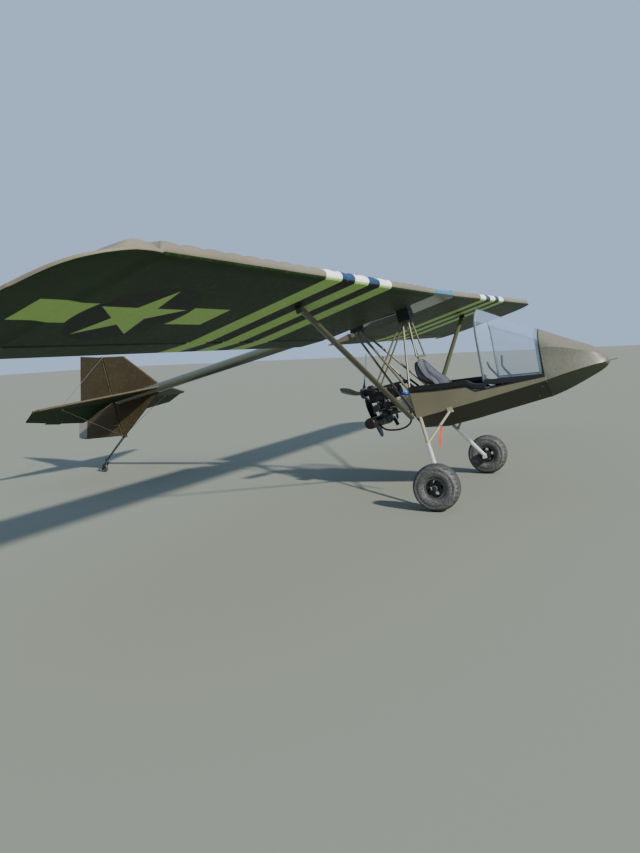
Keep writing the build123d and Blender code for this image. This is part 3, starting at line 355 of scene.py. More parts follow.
def gear_finish():
    """Leg tube: dull tan paint down to the brace's foot, polished tube below, dark drum and axle at the wheel."""
    p = Paint("bright_tube")
    tone, cloud = p.noise(90.0, 4.0), p.noise(8.0, 3.0)
    high, hub = p.z.above(0.512), p.y.size().above(0.735)
    colour = p.mix(tone * 0.5 + cloud * 0.5, (0.72, 0.71, 0.67), (0.95, 0.94, 0.90))
    colour = p.mix(high, colour, p.mix(cloud, (0.25, 0.235, 0.16), (0.37, 0.345, 0.25)))
    colour = p.mix(hub, colour, (0.035, 0.036, 0.036))
    p.set(Base_Color=colour, Roughness=tone.ramp(0.3, 0.7, 0.22, 0.34) + high * 0.16, Metallic=0.55 - 0.5 * high)
    p.bump(tone, 0.1, 0.0005)
    return p


def skylight_finish():
    """Blue-green sheet over the gap between the wings, its underside dark and more opaque as painted shade."""
    p = Paint("tinted_sheet")
    painted_shade_under, scuff = p.nz.below(-0.2), p.noise(40.0, 5.0)
    colour = p.mix(scuff.ramp(0.3, 0.7), (0.030, 0.16, 0.26), (0.045, 0.22, 0.34))
    # down-facing side: darker and more opaque as painted shade
    p.set(Base_Color=p.mix(painted_shade_under, colour, (0.016, 0.030, 0.022)), Roughness=scuff.ramp(0.3, 0.7, 0.12, 0.22),
          Alpha=0.90 + painted_shade_under * 0.07)
    p.material.surface_render_method = "DITHERED"
    return p


cloth = {"left": wing_cloth("wing_cloth_left", 1.0, 0.0), "right": wing_cloth("wing_cloth_right", 0.0, 1.0)}
tail_cloth = tail_finish()
pod_shell = pod_finish("pod_shell", (0.158, 0.146, 0.090))
# the nose's base is darker than the tub's as painted shade on its cheeks
nose_shell = pod_finish("nose_shell", (0.074, 0.075, 0.050))
olive_paint = plain("olive_paint", (0.085, 0.092, 0.060), 0.24, metallic=0.25, coat=0.8, grain=40.0)
strut_paint = plain("strut_paint", (0.078, 0.078, 0.050), 0.36, coat=0.3, grain=40.0)
# cabane tubes: bare aluminium given a dark tan as a painted shadow of the wing above them
cabane_painted_shadow = plain("cabane_painted_shadow", (0.150, 0.145, 0.100), 0.42, metallic=0.2, grain=60.0)
bare_tube = plain("bare_tube", (0.27, 0.26, 0.23), 0.38, metallic=1.0, grain=90.0)
bright_tube = gear_finish()
steel = plain("steel", (0.42, 0.41, 0.39), 0.34, metallic=1.0, grain=120.0)
dark_metal = plain("dark_metal", (0.030, 0.030, 0.032), 0.42, metallic=0.35)
cast_alloy = plain("cast_alloy", (0.085, 0.086, 0.086), 0.46, metallic=0.7, grain=220.0, depth=0.25)
case_black = plain("case_black", (0.022, 0.022, 0.024), 0.46, metallic=0.4, grain=200.0, depth=0.25)
black_steel = plain("black_steel", (0.020, 0.019, 0.018), 0.42, metallic=0.5, grain=50.0, spread=0.4)
blade_black = plain("blade_black", (0.014, 0.014, 0.016), 0.20, coat=0.6, grain=300.0)
rim_black = plain("rim_black", (0.018, 0.019, 0.020), 0.36, coat=0.2, grain=80.0, spread=0.35)
tank_plastic = plain("tank_plastic", (0.50, 0.46, 0.35), 0.42, grain=24.0)
cap_blue = plain("cap_blue", (0.010, 0.070, 0.42), 0.35)
black_rubber = plain("black_rubber", (0.014, 0.014, 0.014), 0.55)
trim_black = plain("trim_black", (0.012, 0.012, 0.013), 0.38)
strap_orange = weave_finish("strap_orange", (0.42, 0.032, 0.006), (0.66, 0.070, 0.012), 2600.0)
piping_grey = weave_finish("piping_grey", (0.07, 0.07, 0.075), (0.15, 0.15, 0.16), 2600.0)
seat_cloth = weave_finish("seat_cloth", (0.045, 0.047, 0.064), (0.125, 0.128, 0.160), 1500.0)
# the windscreen's blue is a painted reflection of the sky
clear_sheet = clear("clear_sheet", (0.30, 0.42, 0.58), 0.10, edge_alpha=0.42)
tinted_sheet = skylight_finish()

for side in ("left", "right"):
    dress(cloth[side], "wing_" + side, "flap_" + side, "aileron_" + side)
dress(tail_cloth, "fin_upper", "fin_lower", "rudder", "elevator", "stabiliser_left", "stabiliser_right")
dress(olive_paint, "boom_tube")
dress(strut_paint, "strut_left", "strut_right")
dress(pod_shell, "pod_tub")
dress(nose_shell, "nose_shell")
dress(cabane_painted_shadow, "cabane_front", "cabane_rear")
dress(bare_tube, "windscreen_frame")
dress(bright_tube, "gear_leg_left", "gear_leg_right")
dress(dark_metal, "tail_spring", "tail_fork")
dress(dark_metal, "spar_bracket", "rear_bracket", "engine_mount", "control_stick", "rudder_pedals", "seat_frame")
dress(case_black, "engine_case")
dress(cast_alloy, "engine_cylinders")
dress(black_steel, "muffler")
dress(blade_black, "propeller")
dress(rim_black, "rim_left", "rim_right", "tail_rim")
dress(tank_plastic, "fuel_tank")
dress(seat_cloth, "seat_back", "seat_pan")
dress(clear_sheet, "windscreen")
dress(tinted_sheet, "skylight")


# Making shapes. Sizes in millimetres, in the frame that the piece is drawn in.
def arc(a, b, c, count):
    """count + 1 points on the round from a through b to c."""
    (ax, ay), (bx, by), (cx, cy) = a, b, c
    d = 2 * (ax * (by - cy) + bx * (cy - ay) + cx * (ay - by))
    ux = ((ax * ax + ay * ay) * (by - cy) + (bx * bx + by * by) * (cy - ay) + (cx * cx + cy * cy) * (ay - by)) / d
    uy = ((ax * ax + ay * ay) * (cx - bx) + (bx * bx + by * by) * (ax - cx) + (cx * cx + cy * cy) * (bx - ax)) / d
    start, mid, end = (math.atan2(q[1] - uy, q[0] - ux) for q in (a, b, c))
    turn = (end - start) % (2 * math.pi)
    if (mid - start) % (2 * math.pi) > turn:
        turn -= 2 * math.pi
    r = math.hypot(ax - ux, ay - uy)
    return [(ux + r * math.cos(start + turn * k / count), uy + r * math.sin(start + turn * k / count))
            for k in range(count + 1)]


def run(a, b, count):
    """count + 1 points evenly from a to b."""
    return [tuple(p + (q - p) * k / count for p, q in zip(a, b)) for k in range(count + 1)]


def eased(rows, steps):
    """Rows with smooth ones between them. The first column says where each stands."""
    at = [row[0] for row in rows]
    slopes = []
    for i in range(len(rows)):
        lo, hi = max(i - 1, 0), min(i + 1, len(rows) - 1)
        slopes.append([(b - a) / (at[hi] - at[lo]) for a, b in zip(rows[lo], rows[hi])])
    out = []
    for i in range(len(rows) - 1):
        h = at[i + 1] - at[i]
        for k in range(steps):
            f = k / steps
            g = [2 * f ** 3 - 3 * f ** 2 + 1, f ** 3 - 2 * f ** 2 + f, -2 * f ** 3 + 3 * f ** 2, f ** 3 - f ** 2]
            out.append([g[0] * a + g[1] * h * m + g[2] * b + g[3] * h * n
                        for a, b, m, n in zip(rows[i], rows[i + 1], slopes[i], slopes[i + 1])])
    return out + [list(rows[-1])]


def skin(bm, rings, closed=True, creases=()):
    """A skin drawn ring by ring, each extruded from the last. Returns the first and the last ring's corners."""
    first = verts = [bm.verts.new(p) for p in rings[0]]
    pairs = list(zip(range(len(verts)), range(1, len(verts)))) + ([(len(verts) - 1, 0)] if closed else [])
    edges = [bm.edges.new((verts[i], verts[j])) for i, j in pairs]
    for ring in rings[1:]:
        grown = bmesh.ops.extrude_edge_only(bm, edges=edges)["geom"]
        fresh = {g for g in grown if isinstance(g, bmesh.types.BMVert)}
        follow = {e.other_vert(v): v for v in fresh for e in v.link_edges if e.other_vert(v) not in fresh}
        for i in creases:
            bm.edges.get((verts[i], follow[verts[i]])).smooth = False
        verts = [follow[v] for v in verts]
        for v, p in zip(verts, ring):
            v.co = p
        edges = [bm.edges.get((verts[i], verts[j])) for i, j in pairs]
    return first, verts


def cap(bm, *rings):
    for ring in rings:
        bm.faces.new(ring)


def add(bm, part, matrix):
    """Puts a finished shape into a piece, through a matrix."""
    bmesh.ops.transform(part, matrix=matrix, verts=part.verts)
    mesh = bpy.data.meshes.new("part")
    part.to_mesh(mesh)
    part.free()
    bm.from_mesh(mesh)
    bpy.data.meshes.remove(mesh)


def turned(bm, at, along, rows, segments=24, put=LEVEL):
    """A turned shape about the line from at along a direction. rows: distance along it, radius."""
    part = bmesh.new()
    line = [part.verts.new((r, 0, d)) for d, r in rows]
    edges = [part.edges.new(pair) for pair in zip(line, line[1:])]
    bmesh.ops.spin(part, geom=line + edges, cent=(0, 0, 0), axis=(0, 0, 1), dvec=(0, 0, 0), angle=2 * math.pi,
                   steps=segments, use_merge=True, use_duplicate=False)
    bmesh.ops.remove_doubles(part, verts=part.verts, dist=1e-4)
    turn = Vector(along).to_track_quat("Z", "Y").to_matrix().to_4x4()
    add(bm, part, put @ Matrix.Translation(at) @ turn)


def disc(r, length, edge=1.0, start=0.0):
    """Rows of a closed round bar with softened edges."""
    return [(start, 0), (start, r - edge), (start + edge, r), (start + length - edge, r), (start + length, r - edge),
            (start + length, 0)]


def block(bm, low, high, edge=1.5, put=LEVEL):
    """A block with softened edges."""
    part = bmesh.new()
    bmesh.ops.create_cube(part, size=1.0)
    size = [abs(b - a) for a, b in zip(low, high)]
    bmesh.ops.scale(part, vec=size, verts=part.verts)
    bmesh.ops.translate(part, vec=[(a + b) / 2 for a, b in zip(low, high)], verts=part.verts)
    if edge:
        bmesh.ops.bevel(part, geom=part.edges[:], offset=edge, segments=2, profile=0.5, affect="EDGES", material=-1)
    add(bm, part, put)


def bolt(bm, at, along, r=5.0, put=LEVEL):
    """Hexagon head on a washer with a stub of thread."""
    turned(bm, at, along, disc(1.7 * r, 1.4, 0.4), 20, put)
    turned(bm, at, along, disc(r * 1.12, r * 1.1, 0.5, 1.4), 6, put)
    turned(bm, at, along, disc(0.5 * r, r * 1.7, 0.4, 1.0), 10, put)


def piece(name, bm, finish, body="airframe", sharp=None, stands_for=()):
    """A finished mesh becomes a piece of the model."""
    bmesh.ops.remove_doubles(bm, verts=bm.verts, dist=2e-6)
    bmesh.ops.recalc_face_normals(bm, faces=bm.faces)
    for f in bm.faces:
        f.smooth = True
    for e in bm.edges:
        if sharp and len(e.link_faces) == 2 and e.calc_face_angle(0.0) > math.radians(sharp):
            e.smooth = False
    mesh = bpy.data.meshes.new(name)
    bm.to_mesh(mesh)
    bm.free()
    obj = bpy.data.objects.new(name, mesh)
    bpy.context.scene.collection.objects.link(obj)
    mesh.materials.append(finish.material)
    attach(obj, body)
    if stands_for:
        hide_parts(*stands_for)
    return obj


def as_mesh(obj):
    """A mesh of an object as its modifiers leave it."""
    return bpy.data.meshes.new_from_object(obj.evaluated_get(bpy.context.evaluated_depsgraph_get()))


def lines(name, runs, finish, body="airframe", sides=3, put=LEVEL):
    """Rods, tubes and hoses. runs: points, radius, and whether the run is bent smoothly through them."""
    curve = bpy.data.curves.new(name, "CURVE")
    curve.dimensions, curve.bevel_depth, curve.bevel_resolution, curve.use_fill_caps = "3D", 1.0, sides, True
    for points, radius, smooth in runs:
        spline = curve.splines.new("NURBS" if smooth else "POLY")
        spline.points.add(len(points) - 1)
        for q, p in zip(spline.points, points):
            q.co, q.radius = (*(put @ Vector(p)), 1.0), radius / 1000
        if smooth:
            spline.order_u, spline.use_endpoint_u, spline.resolution_u = 3, True, 8
    obj = bpy.data.objects.new(name, curve)
    bpy.context.scene.collection.objects.link(obj)
    mesh = as_mesh(obj)
    bpy.data.objects.remove(obj)
    bpy.data.curves.remove(curve)
    bm = bmesh.new()
    bm.from_mesh(mesh)
    bpy.data.meshes.remove(mesh)
    return piece(name, bm, finish, body, sharp=50)


def strap(bm, points, wide, thick, put=LEVEL):
    """A flat bar through points. wide: half its width as a vector; thick: half its thickness as one."""
    w, t = Vector(wide), Vector(thick)
    rings = [[put @ (Vector(p) + a * w + b * t) for a, b in ((-1, -1), (1, -1), (1, 1), (-1, 1))] for p in points]
    cap(bm, *skin(bm, rings))


# Wing: cloth drawn over ribs from a leading edge tube, bowed out between them, and a tip drawn over a bow
SPAN, FIXED_END, HINGE_BACK, HINGE_UP = 3640.0, 1126.0, 1163.0, 32.0
NOSE_CUT, TOP_CUT, BACK_CUT, BASE_CUT = 12, 30, 3, 14
HINGES = (150.0, 900.0, 1640.0, 1940.0, 2750.0, 3500.0)
# tip bow: width out, front set back, rear set forward, shoulder, crown
TIP_ROWS = [(0, -4, 2, 40, 128), (60, -5, 3, 38, 112), (120, -2, 6, 40, 96), (150, 1, 10, 39, 86), (175, 4, 16, 31, 74),
            (215, 19, 32, 14, 57), (245, 34, 48, 6, 48), (285, 58, 72, 1, 38), (310, 76, 96, 0, 34), (370, 132, 168, 0, 26),
            (415, 205, 252, 0, 20), (445, 300, 352, 0, 14), (468, 430, 500, 0, 9)]


def billow(s):
    """How far the cloth stands out between the ribs at this place along the span."""
    last = RIB_LAST * 1000
    f = ((s - last) / (RIB_PITCH * 1000)) % 1.0
    swell = -5.0 + 11.5 * 4 * f * (1 - f)
    if s > last:
        swell = -5.0 * max(1.0 - (s - last) / 60.0, 0.0) + 19.0 * math.sin(math.pi * min((s - last) / 255.0, 1.0))
    return swell


def outline(nose, top, end):
    """Closed section from its nose's lower end round the nose, over the top, down the rear and along the base."""
    back = run(top[-1], end, BACK_CUT)[1:]
    return nose + top[1:] + back + run(end, nose[0], BASE_CUT)[1:-1]


def panel_ring(s):
    points = outline(arc((0, 0), (-25, 35), (12, 70), NOSE_CUT), arc((12, 70), (430, 166), (FIXED_END, 66), TOP_CUT),
                     (FIXED_END, 0))
    ring = []
    for i, (u, w) in enumerate(points):
        share = min(max((i - 5) / 5, 0.0), 1.0) * (1.0 - 0.65 * max(u - 250, 0) / 876) if i <= NOSE_CUT + TOP_CUT else 0.0
        ring.append((-u, s, w + share * billow(s)))
    return ring


def tip_ring(out, front, set_in, shoulder, crown):
    rear = 1420.0 - set_in
    low, high = 9.0 * min(out / 80, 1.0), 28.0
    nose = arc((front, low), (front - 9.5 - (9 - low), (low + high) / 2), (front, high), NOSE_CUT)
    step = (front + 22, high + shoulder)
    top = run((front, high), step, 4) + arc(step, (front + 0.32 * (rear - front), high + crown), (rear, high + 2),
                                            TOP_CUT - 4)[1:]
    s, ring = SPAN + out, []
    for i, (u, w) in enumerate(outline(nose, top, (rear, low + 2))):
        back = min(max((u - front) / max(rear - front, 1), 0), 1)
        share = math.sin(math.pi * back) ** 0.25 * (1.0 - 0.75 * back)
        ring.append((-u, s, w + (share * billow(s) if NOSE_CUT + 2 <= i <= NOSE_CUT + TOP_CUT else 0.0)))
    return ring


def wing(side):
    put, bm = WING[side], bmesh.new()
    last = RIB_LAST * 1000
    stations = sorted({0.0, SPAN} | {last - RIB_PITCH * 1000 * (k / 7) for k in range(1, 155) if
                                     0 < last - RIB_PITCH * 1000 * (k / 7) < SPAN})
    rings = [panel_ring(s) for s in stations]
    rings += [tip_ring(*row) for row in eased(TIP_ROWS, 4) if row[0] > 20]
    edge = tip_ring(*TIP_ROWS[-1])
    mid = Vector([sum(p[k] for p in edge) / len(edge) for k in range(3)])
    for out, keep in ((4.0, 0.95), (6.5, 0.84)):
        rings.append([mid + (Vector(p) - mid) * keep + Vector((0, out, 0)) for p in edge])
    cap(bm, *skin(bm, [[put @ Vector(p) for p in ring] for ring in rings]))
    piece("wing_cloth_" + side, bm, cloth[side], sharp=38, stands_for=("wing_" + side,))
    bm = bmesh.new()
    for s in HINGES:
        block(bm, (-HINGE_BACK, s - 4, HINGE_UP - 9), (-FIXED_END + 10, s + 4, HINGE_UP + 9), 1.2, put)
        turned(bm, (-HINGE_BACK, s - 4, HINGE_UP), (0, 1, 0), disc(9, 8, 1), 20, put)
        turned(bm, (-HINGE_BACK, s - 16, HINGE_UP), (0, 1, 0), disc(4, 32, 0.8), 12, put)
    piece("wing_hinges_" + side, bm, steel, sharp=35)
    # fairing of the strut's fitting and its two bolts
    bm = bmesh.new()
    block(bm, (-442, 1735, -14), (-398, 1771, 2), 2, put)
    for x in (-432, -408):
        bolt(bm, (x, 1753, -13), (0, 0, -1), 4.5, put)
    piece("strut_fitting_" + side, bm, dark_metal, sharp=35)


for side in ("left", "right"):
    wing(side)


# Nose: moulded shell with a crease along its cheek. Station, then y and z of floor, chine and crease, top z, bulges
NOSE_ROWS = [(1000, 142, 673, 279, 822, 168, 1103, 1268, 5, 24), (1035, 137, 678, 271, 827, 166, 1098, 1245, 1, 18),
             (1070, 131, 684, 262, 831, 162, 1092, 1222, -3, 12), (1139, 118, 698, 240, 838, 151, 1070, 1174, -5, 7),
             (1207, 105, 716, 216, 843, 138, 1045, 1129, -5, 5), (1274, 90, 736, 189, 847, 123, 1014, 1085, -5, 4),
             (1340, 73, 757, 156, 850, 103, 984, 1043, -4, 4), (1405, 53, 778, 117, 851, 78, 948, 998, -1, 3), (1450, 38, 798, 82, 850, 53, 912, 952, 4, 3),
             (1480, 24, 817, 51, 849, 34, 885, 908, 3, 2), (1499, 9, 838, 18, 848, 12, 858, 866, 1, 1)]


def bowed(a, b, bulge, count):
    """Points from a to b on a shallow round that stands bulge outside the line between them."""
    length = math.hypot(b[0] - a[0], b[1] - a[1])
    mid = ((a[0] + b[0]) / 2 + bulge * (b[1] - a[1]) / length, (a[1] + b[1]) / 2 - bulge * (b[0] - a[0]) / length)
    return arc(a, mid, b, count)


def nose_ring(x, fy, fz, cy, cz, ry, rz, tz, cheek, deck):
    half = bowed((fy, fz), (cy, cz), 4 * fy / 142 + 0.05, 5)[:-1] + bowed((cy, cz), (ry, rz), cheek, 9)[:-1] \
        + bowed((ry, rz), (0, tz), deck, 9)
    loop = half + [(-y, z) for y, z in reversed(half[:-1])] + run((-fy, fz), (fy, fz), 4)[1:-1]
    return [parked(x, y, z) for y, z in loop]


def nose():
    bm = bmesh.new()
    rows = eased(NOSE_ROWS, 5)
    rings = [nose_ring(*row) for row in rows]
    mid = sum(rings[-1], Vector()) / len(rings[-1])
    for ahead, keep in ((2.5, 0.8), (3.6, 0.45)):
        rings.append([mid + (p - mid) * keep + (parked(ahead, 0, 0) - parked(0, 0, 0)) for p in rings[-1 - (ahead > 3)]])
    first, last = skin(bm, rings, creases=(5, 14, 32, 41))
    cap(bm, last)
    shell = piece("nose_shell_skin", bm, nose_shell, sharp=24, stands_for=("nose_shell",))
    wall = shell.modifiers.new("wall", "SOLIDIFY")
    wall.thickness, wall.offset = 0.0035, -1.0
    bm = bmesh.new()
    turned(bm, (1490, 0, 852), (1, 0, -0.02), [(0, 0), (0, 8), (8, 8), (12, 5), (66, 5), (71, 4.2), (71, 2.6), (60, 2.4),
                                               (60, 0)], 20)
    piece("pitot_tube", bm, steel, sharp=30)


nose()


# Seams, screws and trim of the pod and the windscreen
def side_points(rows, x):
    """Y and z of the rows' two columns at station x."""
    for a, b in zip(rows, rows[1:]):
        if a[0] <= x <= b[0]:
            f = (x - a[0]) / (b[0] - a[0])
            return a[1] + f * (b[1] - a[1]), a[2] + f * (b[2] - a[2])
    return rows[-1][1:3]


SILL = [(-180, 290, 1018), (50, 290, 978), (335, 290, 942), (405, 290, 884), (1000, 277, 862)]
CHINE = [(-180, 290, 772), (50, 290, 780), (335, 290, 790), (405, 290, 793), (1000, 279, 822)]
FLOOR = [(-180, 150, 668), (50, 152, 630), (335, 152, 636), (405, 152, 640), (1000, 142, 673)]


def arch(y_foot, z_foot, y_side, z_side, y_mid, z_mid, z_top, in_by, x_of, steps=9):
    """A windscreen arch from its port foot over the top to the starboard one."""
    k = in_by
    half = run((y_foot - k, z_foot), (y_side - k, z_side), 5)[:-1]
    half += arc((y_side - k, z_side), (y_mid - 0.75 * k, z_mid - 0.66 * k), (0, z_top - k), steps)
    loop = half + [(-y, z) for y, z in reversed(half[:-1])]
    return [(x_of(z), y, z) for y, z in loop]


def pod_trim():
    sill_black, screws = bmesh.new(), bmesh.new()
    for side in (1, -1):
        rail = [(x, side * (y - 3), z - 2) for x, y, z in SILL]
        strap(sill_black, rail, (0, 5.5, 0), (0, 0, 5))
        # padded coaming along the open side, and the lining below it
        coaming = [(-178, 284, 1034), (-60, 284, 1024), (50, 284, 1002), (335, 284, 966), (360, 284, 958), (405, 284, 914),
                   (500, 283, 896)]
        lines("coaming_" + ("left" if side > 0 else "right"),
              [([(x, side * y, z - 6 + 12 * k) for x, y, z in coaming], 15.0, True) for k in (0, 1, 2)], trim_black,
              sides=5)
        inner = [(x, side * (y - 9), z - 22) for x, y, z in SILL]
        strap(sill_black, inner, (0, 1.5, 0), (0, 0, 20))
        # foot of the windscreen
        foot = [(500, side * 292.2, 938), (700, side * 283, 906), (990, side * 266.5, 860)]
        strap(sill_black, foot, (0, 1.8, 0), (3.5, 0, 22))
        for x, y, z in ((930, 281.5, 848), (905, 280, 700), (960, 281, 780), (700, 286, 842), (210, 291, 820),
                        (215, 291, 836), (-120, 291, 940), (-120, 291, 850), (40, 291, 800)):
            turned(screws, (x, side * (side_points(CHINE, x)[0] - 0.5 if z > 780 else side_points(FLOOR, x)[0] + (
                side_points(CHINE, x)[0] - side_points(FLOOR, x)[0]) * (z - side_points(FLOOR, x)[1]) / (
                side_points(CHINE, x)[1] - side_points(FLOOR, x)[1])), z), (0, side, 0),
                [(0, 0), (0, 4.6), (0.6, 4.6), (1.2, 3.6), (1.8, 0)], 14)
    piece("sill_trim", sill_black, trim_black, sharp=35)
    piece("pod_screws", screws, steel, sharp=35)
    # seam between nose and tub, as a narrow joint strip round the shell
    bm = bmesh.new()
    rings = []
    for x, grow in ((988, 0.2), (990, 1.6), (1008, 1.6), (1010, 0.2)):
        f = (x - 1000) / 70
        row = [a + f * (b - a) for a, b in zip(NOSE_ROWS[0], NOSE_ROWS[1])] if x > 1000 else list(NOSE_ROWS[0])
        fy, fz, cy, cz = row[1], row[2], row[3], row[4]
        half = [(fy + grow, fz - grow), (cy + grow, cz), ((cy * 0.82 + row[5] * 0.18) + grow, cz * 0.82 + row[6] * 0.18)]
        rings.append([parked(x, y, z) for y, z in [(-a, b) for a, b in reversed(half)] + half])
    skin(bm, rings, closed=False)
    strip = piece("nose_joint", bm, nose_shell, sharp=30)
    wall = strip.modifiers.new("wall", "SOLIDIFY")
    wall.thickness, wall.offset = 0.001, -1.0
    # bands on the windscreen's two arches
    bands, clips = bmesh.new(), bmesh.new()
    rear = arch(290, 944, 290, 1290, 216, 1508, 1585, -1.2, lambda z: 492 + 48 * (z - 944) / 641 + 3)
    front = arch(263, 862, 168, 1103, 103, 1204, 1268, -1.8, lambda z: 993)
    bright = arch(263, 862, 170, 1108, 104, 1212, 1277, -2.2, lambda z: 975)
    strap(bands, front, (9, 0, 0), (0, 0.9, 0.9))
    strap(clips, rear, (4, 0, 0), (0, 0.9, 0.9))
    strap(clips, bright, (7.5, 0, 0), (0, 0.8, 0.8))
    piece("screen_band", bands, trim_black, sharp=35)
    piece("screen_strips", clips, bare_tube, sharp=35)
    # rear edge of the tub: folded flange
    bm = bmesh.new()
    rim = [(-183, 290, 1016), (-183, 290, 772), (-183, 150, 668), (-183, -150, 668), (-183, -290, 772), (-183, -290, 1016)]
    for a, b in zip(rim, rim[1:]):
        strap(bm, [a, b], (4, 0, 0), (0, 1.6, 1.6))
    piece("pod_flange", bm, pod_shell, sharp=35)


pod_trim()


# Wheels: tread ribs with grooves between them, smooth rounded walls, a bright lip inside the bead
MAIN_TYRE = [(50, 84), (61, 92), (70, 108), (73, 130), (73, 146), (70.5, 150), (71, 153), (68, 166), (69, 169), (64, 178),
             (55.5, 186.5), (47, 192.5)]
TAIL_TYRE = [(10, 26), (13.5, 29), (16.8, 35), (17, 40), (15.5, 45), (11, 49.4), (5.5, 51.6)]


def tyre_rows(half, tread_half, tread_r, grooves, depth):
    """Closed rows of a tyre. half: distance and radius from the bead to the tread's edge."""
    tread = []
    for k in range(-8, 9):
        y = tread_half * k / 8
        tread.append((y, tread_r * (1 - 0.032 * (y / tread_half) ** 2)))
    for g in grooves:
        r = tread_r * (1 - 0.032 * (g / tread_half) ** 2)
        tread += [(g - 3, r), (g - 2, r - depth), (g + 2, r - depth), (g + 3, r)]
    clear_of = [(y, r) for y, r in tread if not any(abs(y - g) < 2.9 and r > tread_r * 0.99 * (
        1 - 0.032 * (g / tread_half) ** 2) for g in grooves)]
    rows = [(-y, r) for y, r in half] + sorted(set(clear_of)) + list(reversed(half))
    return rows + rows[:1]


rim_grey = plain("rim_grey", (0.16, 0.165, 0.17), 0.34, metallic=0.6, grain=80.0, spread=0.3)


def wheels():
    for side, sign in (("left", 1), ("right", -1)):
        bm = bmesh.new()
        turned(bm, (46, sign * 860, 196), (0, sign, 0), tyre_rows(MAIN_TYRE, 42, 201, (-33, -12, 12, 33), 4), 96)
        tyre = tyre_finish("tyre_" + side, parked(46, sign * 860, 196), 0.201)
        piece("tyre_skin_" + side, bm, tyre, "wheel_" + side, 40, ("tyre_" + side,))
        bm = bmesh.new()
        for lip in (1, -1):
            turned(bm, (46, sign * 860, 196), (0, lip * sign, 0), [(55, 78.5), (59.6, 80), (61, 84), (60, 87), (57.5, 87.5),
                                                                   (58, 84), (55, 78.5)], 72)
        turned(bm, (46, sign * 860, 196), (0, sign, 0), [(47, 0), (47, 22), (50, 24), (58, 22), (60, 16), (60, 0)], 36)
        for k in range(8):
            a = math.pi * (k / 4 + 0.125)
            turned(bm, (46 + 68 * math.cos(a), sign * 859, 196 + 68 * math.sin(a)), (0, sign, 0),
                   [(18, 0), (18, 6.6), (20, 6.6), (20.4, 5.4), (25, 5.2), (25.6, 0)], 6)
        piece("rim_lips_" + side, bm, rim_grey, "wheel_" + side, 30)
        lines("valve_" + side, [([(46 - 60, sign * 890, 196 + 22), (46 - 50, sign * 912, 196 + 19)], 3.2, False),
                                ([(46 - 50, sign * 911, 196 + 19), (46 - 47.5, sign * 918, 196 + 18)], 4.6, False)],
              black_rubber, "wheel_" + side)
        # axle nut
        bm = bmesh.new()
        bolt(bm, (46, sign * 918, 196), (0, sign, 0), 8.5)
        piece("axle_nut_" + side, bm, dark_metal, sharp=30)
    bm = bmesh.new()
    turned(bm, (-4417, 0, 1097), (0, 1, 0), tyre_rows(TAIL_TYRE, 4.5, 52, (), 0), 56)
    piece("tail_tyre_skin", bm, tyre_finish("tail_tyre", parked(-4417, 0, 1097), 0.052), "tail_wheel",
          40, ("tail_tyre",))


wheels()


# Seat: two stuffed cushions with piping sewn along their edges
# back, bottom to top: front x and z, rear x and z, half width
BACK_ROWS = [(75, 1007, 32, 1004, 199), (58, 1041, -2, 1026, 203), (39, 1077, -38, 1054, 198), (12, 1107, -72, 1074, 187),
             (-13, 1134, -102, 1093, 176), (-35, 1174, -132, 1115, 160), (-57, 1214, -146, 1154, 142),
             (-78, 1254, -156, 1205, 122), (-92, 1280, -157, 1248, 103), (-101, 1291, -150, 1280, 84)]
# pan, rear to front: x, lower z, upper z, half width
PAN_ROWS = [(34, 856, 1000, 197), (76, 812, 1003, 202), (112, 806, 996, 203), (149, 808, 983, 203), (172, 811, 938, 203),
            (192, 813, 900, 203), (280, 816, 893, 203), (390, 820, 886, 203), (470, 824, 880, 201), (502, 834, 870, 194)]


def pad_ring(front, rear, half, corner=3.6, count=40):
    """Ring of a stuffed pad between its front and rear middle points."""
    mid, reach, ring = (front + rear) / 2, (front - rear) / 2, []
    for k in range(count):
        a = 2 * math.pi * k / count
        c, s = math.cos(a), math.sin(a)
        across = math.copysign(abs(c) ** (2 / corner), c) * half
        depth = math.copysign(abs(s) ** (2 / corner), s)
        crown = 1.0 + 0.10 * (1 - (across / half) ** 2)
        ring.append(parked(*(mid + reach * depth * crown * 0.94 + Vector((0, across, 0)))))
    return ring


def stuffed(obj, cap_by):
    """Blows a cushion up a little, as its filling does."""
    remesh = obj.modifiers.new("remesh", "REMESH")
    remesh.mode, remesh.voxel_size, remesh.use_smooth_shade = "VOXEL", 0.006, True
    fine = as_mesh(obj)
    obj.modifiers.clear()
    old, obj.data = obj.data, fine
    fine.name = old.name
    rest = [v.co.copy() for v in fine.vertices]
    blown = obj.modifiers.new("filling", "CLOTH")
    blown.settings.use_pressure, blown.settings.uniform_pressure_force = True, 4.0
    blown.settings.effector_weights.gravity = 0.0
    blown.settings.quality = 4
    for f in range(1, 21):
        bpy.context.scene.frame_set(f)
    swollen = as_mesh(obj)
    obj.modifiers.clear()
    bpy.context.scene.frame_set(1)
    for v, was, now in zip(fine.vertices, rest, [v.co.copy() for v in swollen.vertices]):
        move = now - was
        v.co = was + (move * (cap_by / move.length) if move.length > cap_by else move)
    bpy.data.meshes.remove(swollen)
    for f in fine.polygons:
        f.use_smooth = True


def cushion(name, rings, node, cap_by):
    bm = bmesh.new()
    cap(bm, *skin(bm, rings))
    obj = piece(name, bm, seat_cloth, stands_for=(node,))
    obj.data.materials.clear()
    obj.data.materials.append(seat_cloth.material)
    stuffed(obj, cap_by)
    if not obj.data.materials:
        obj.data.materials.append(seat_cloth.material)


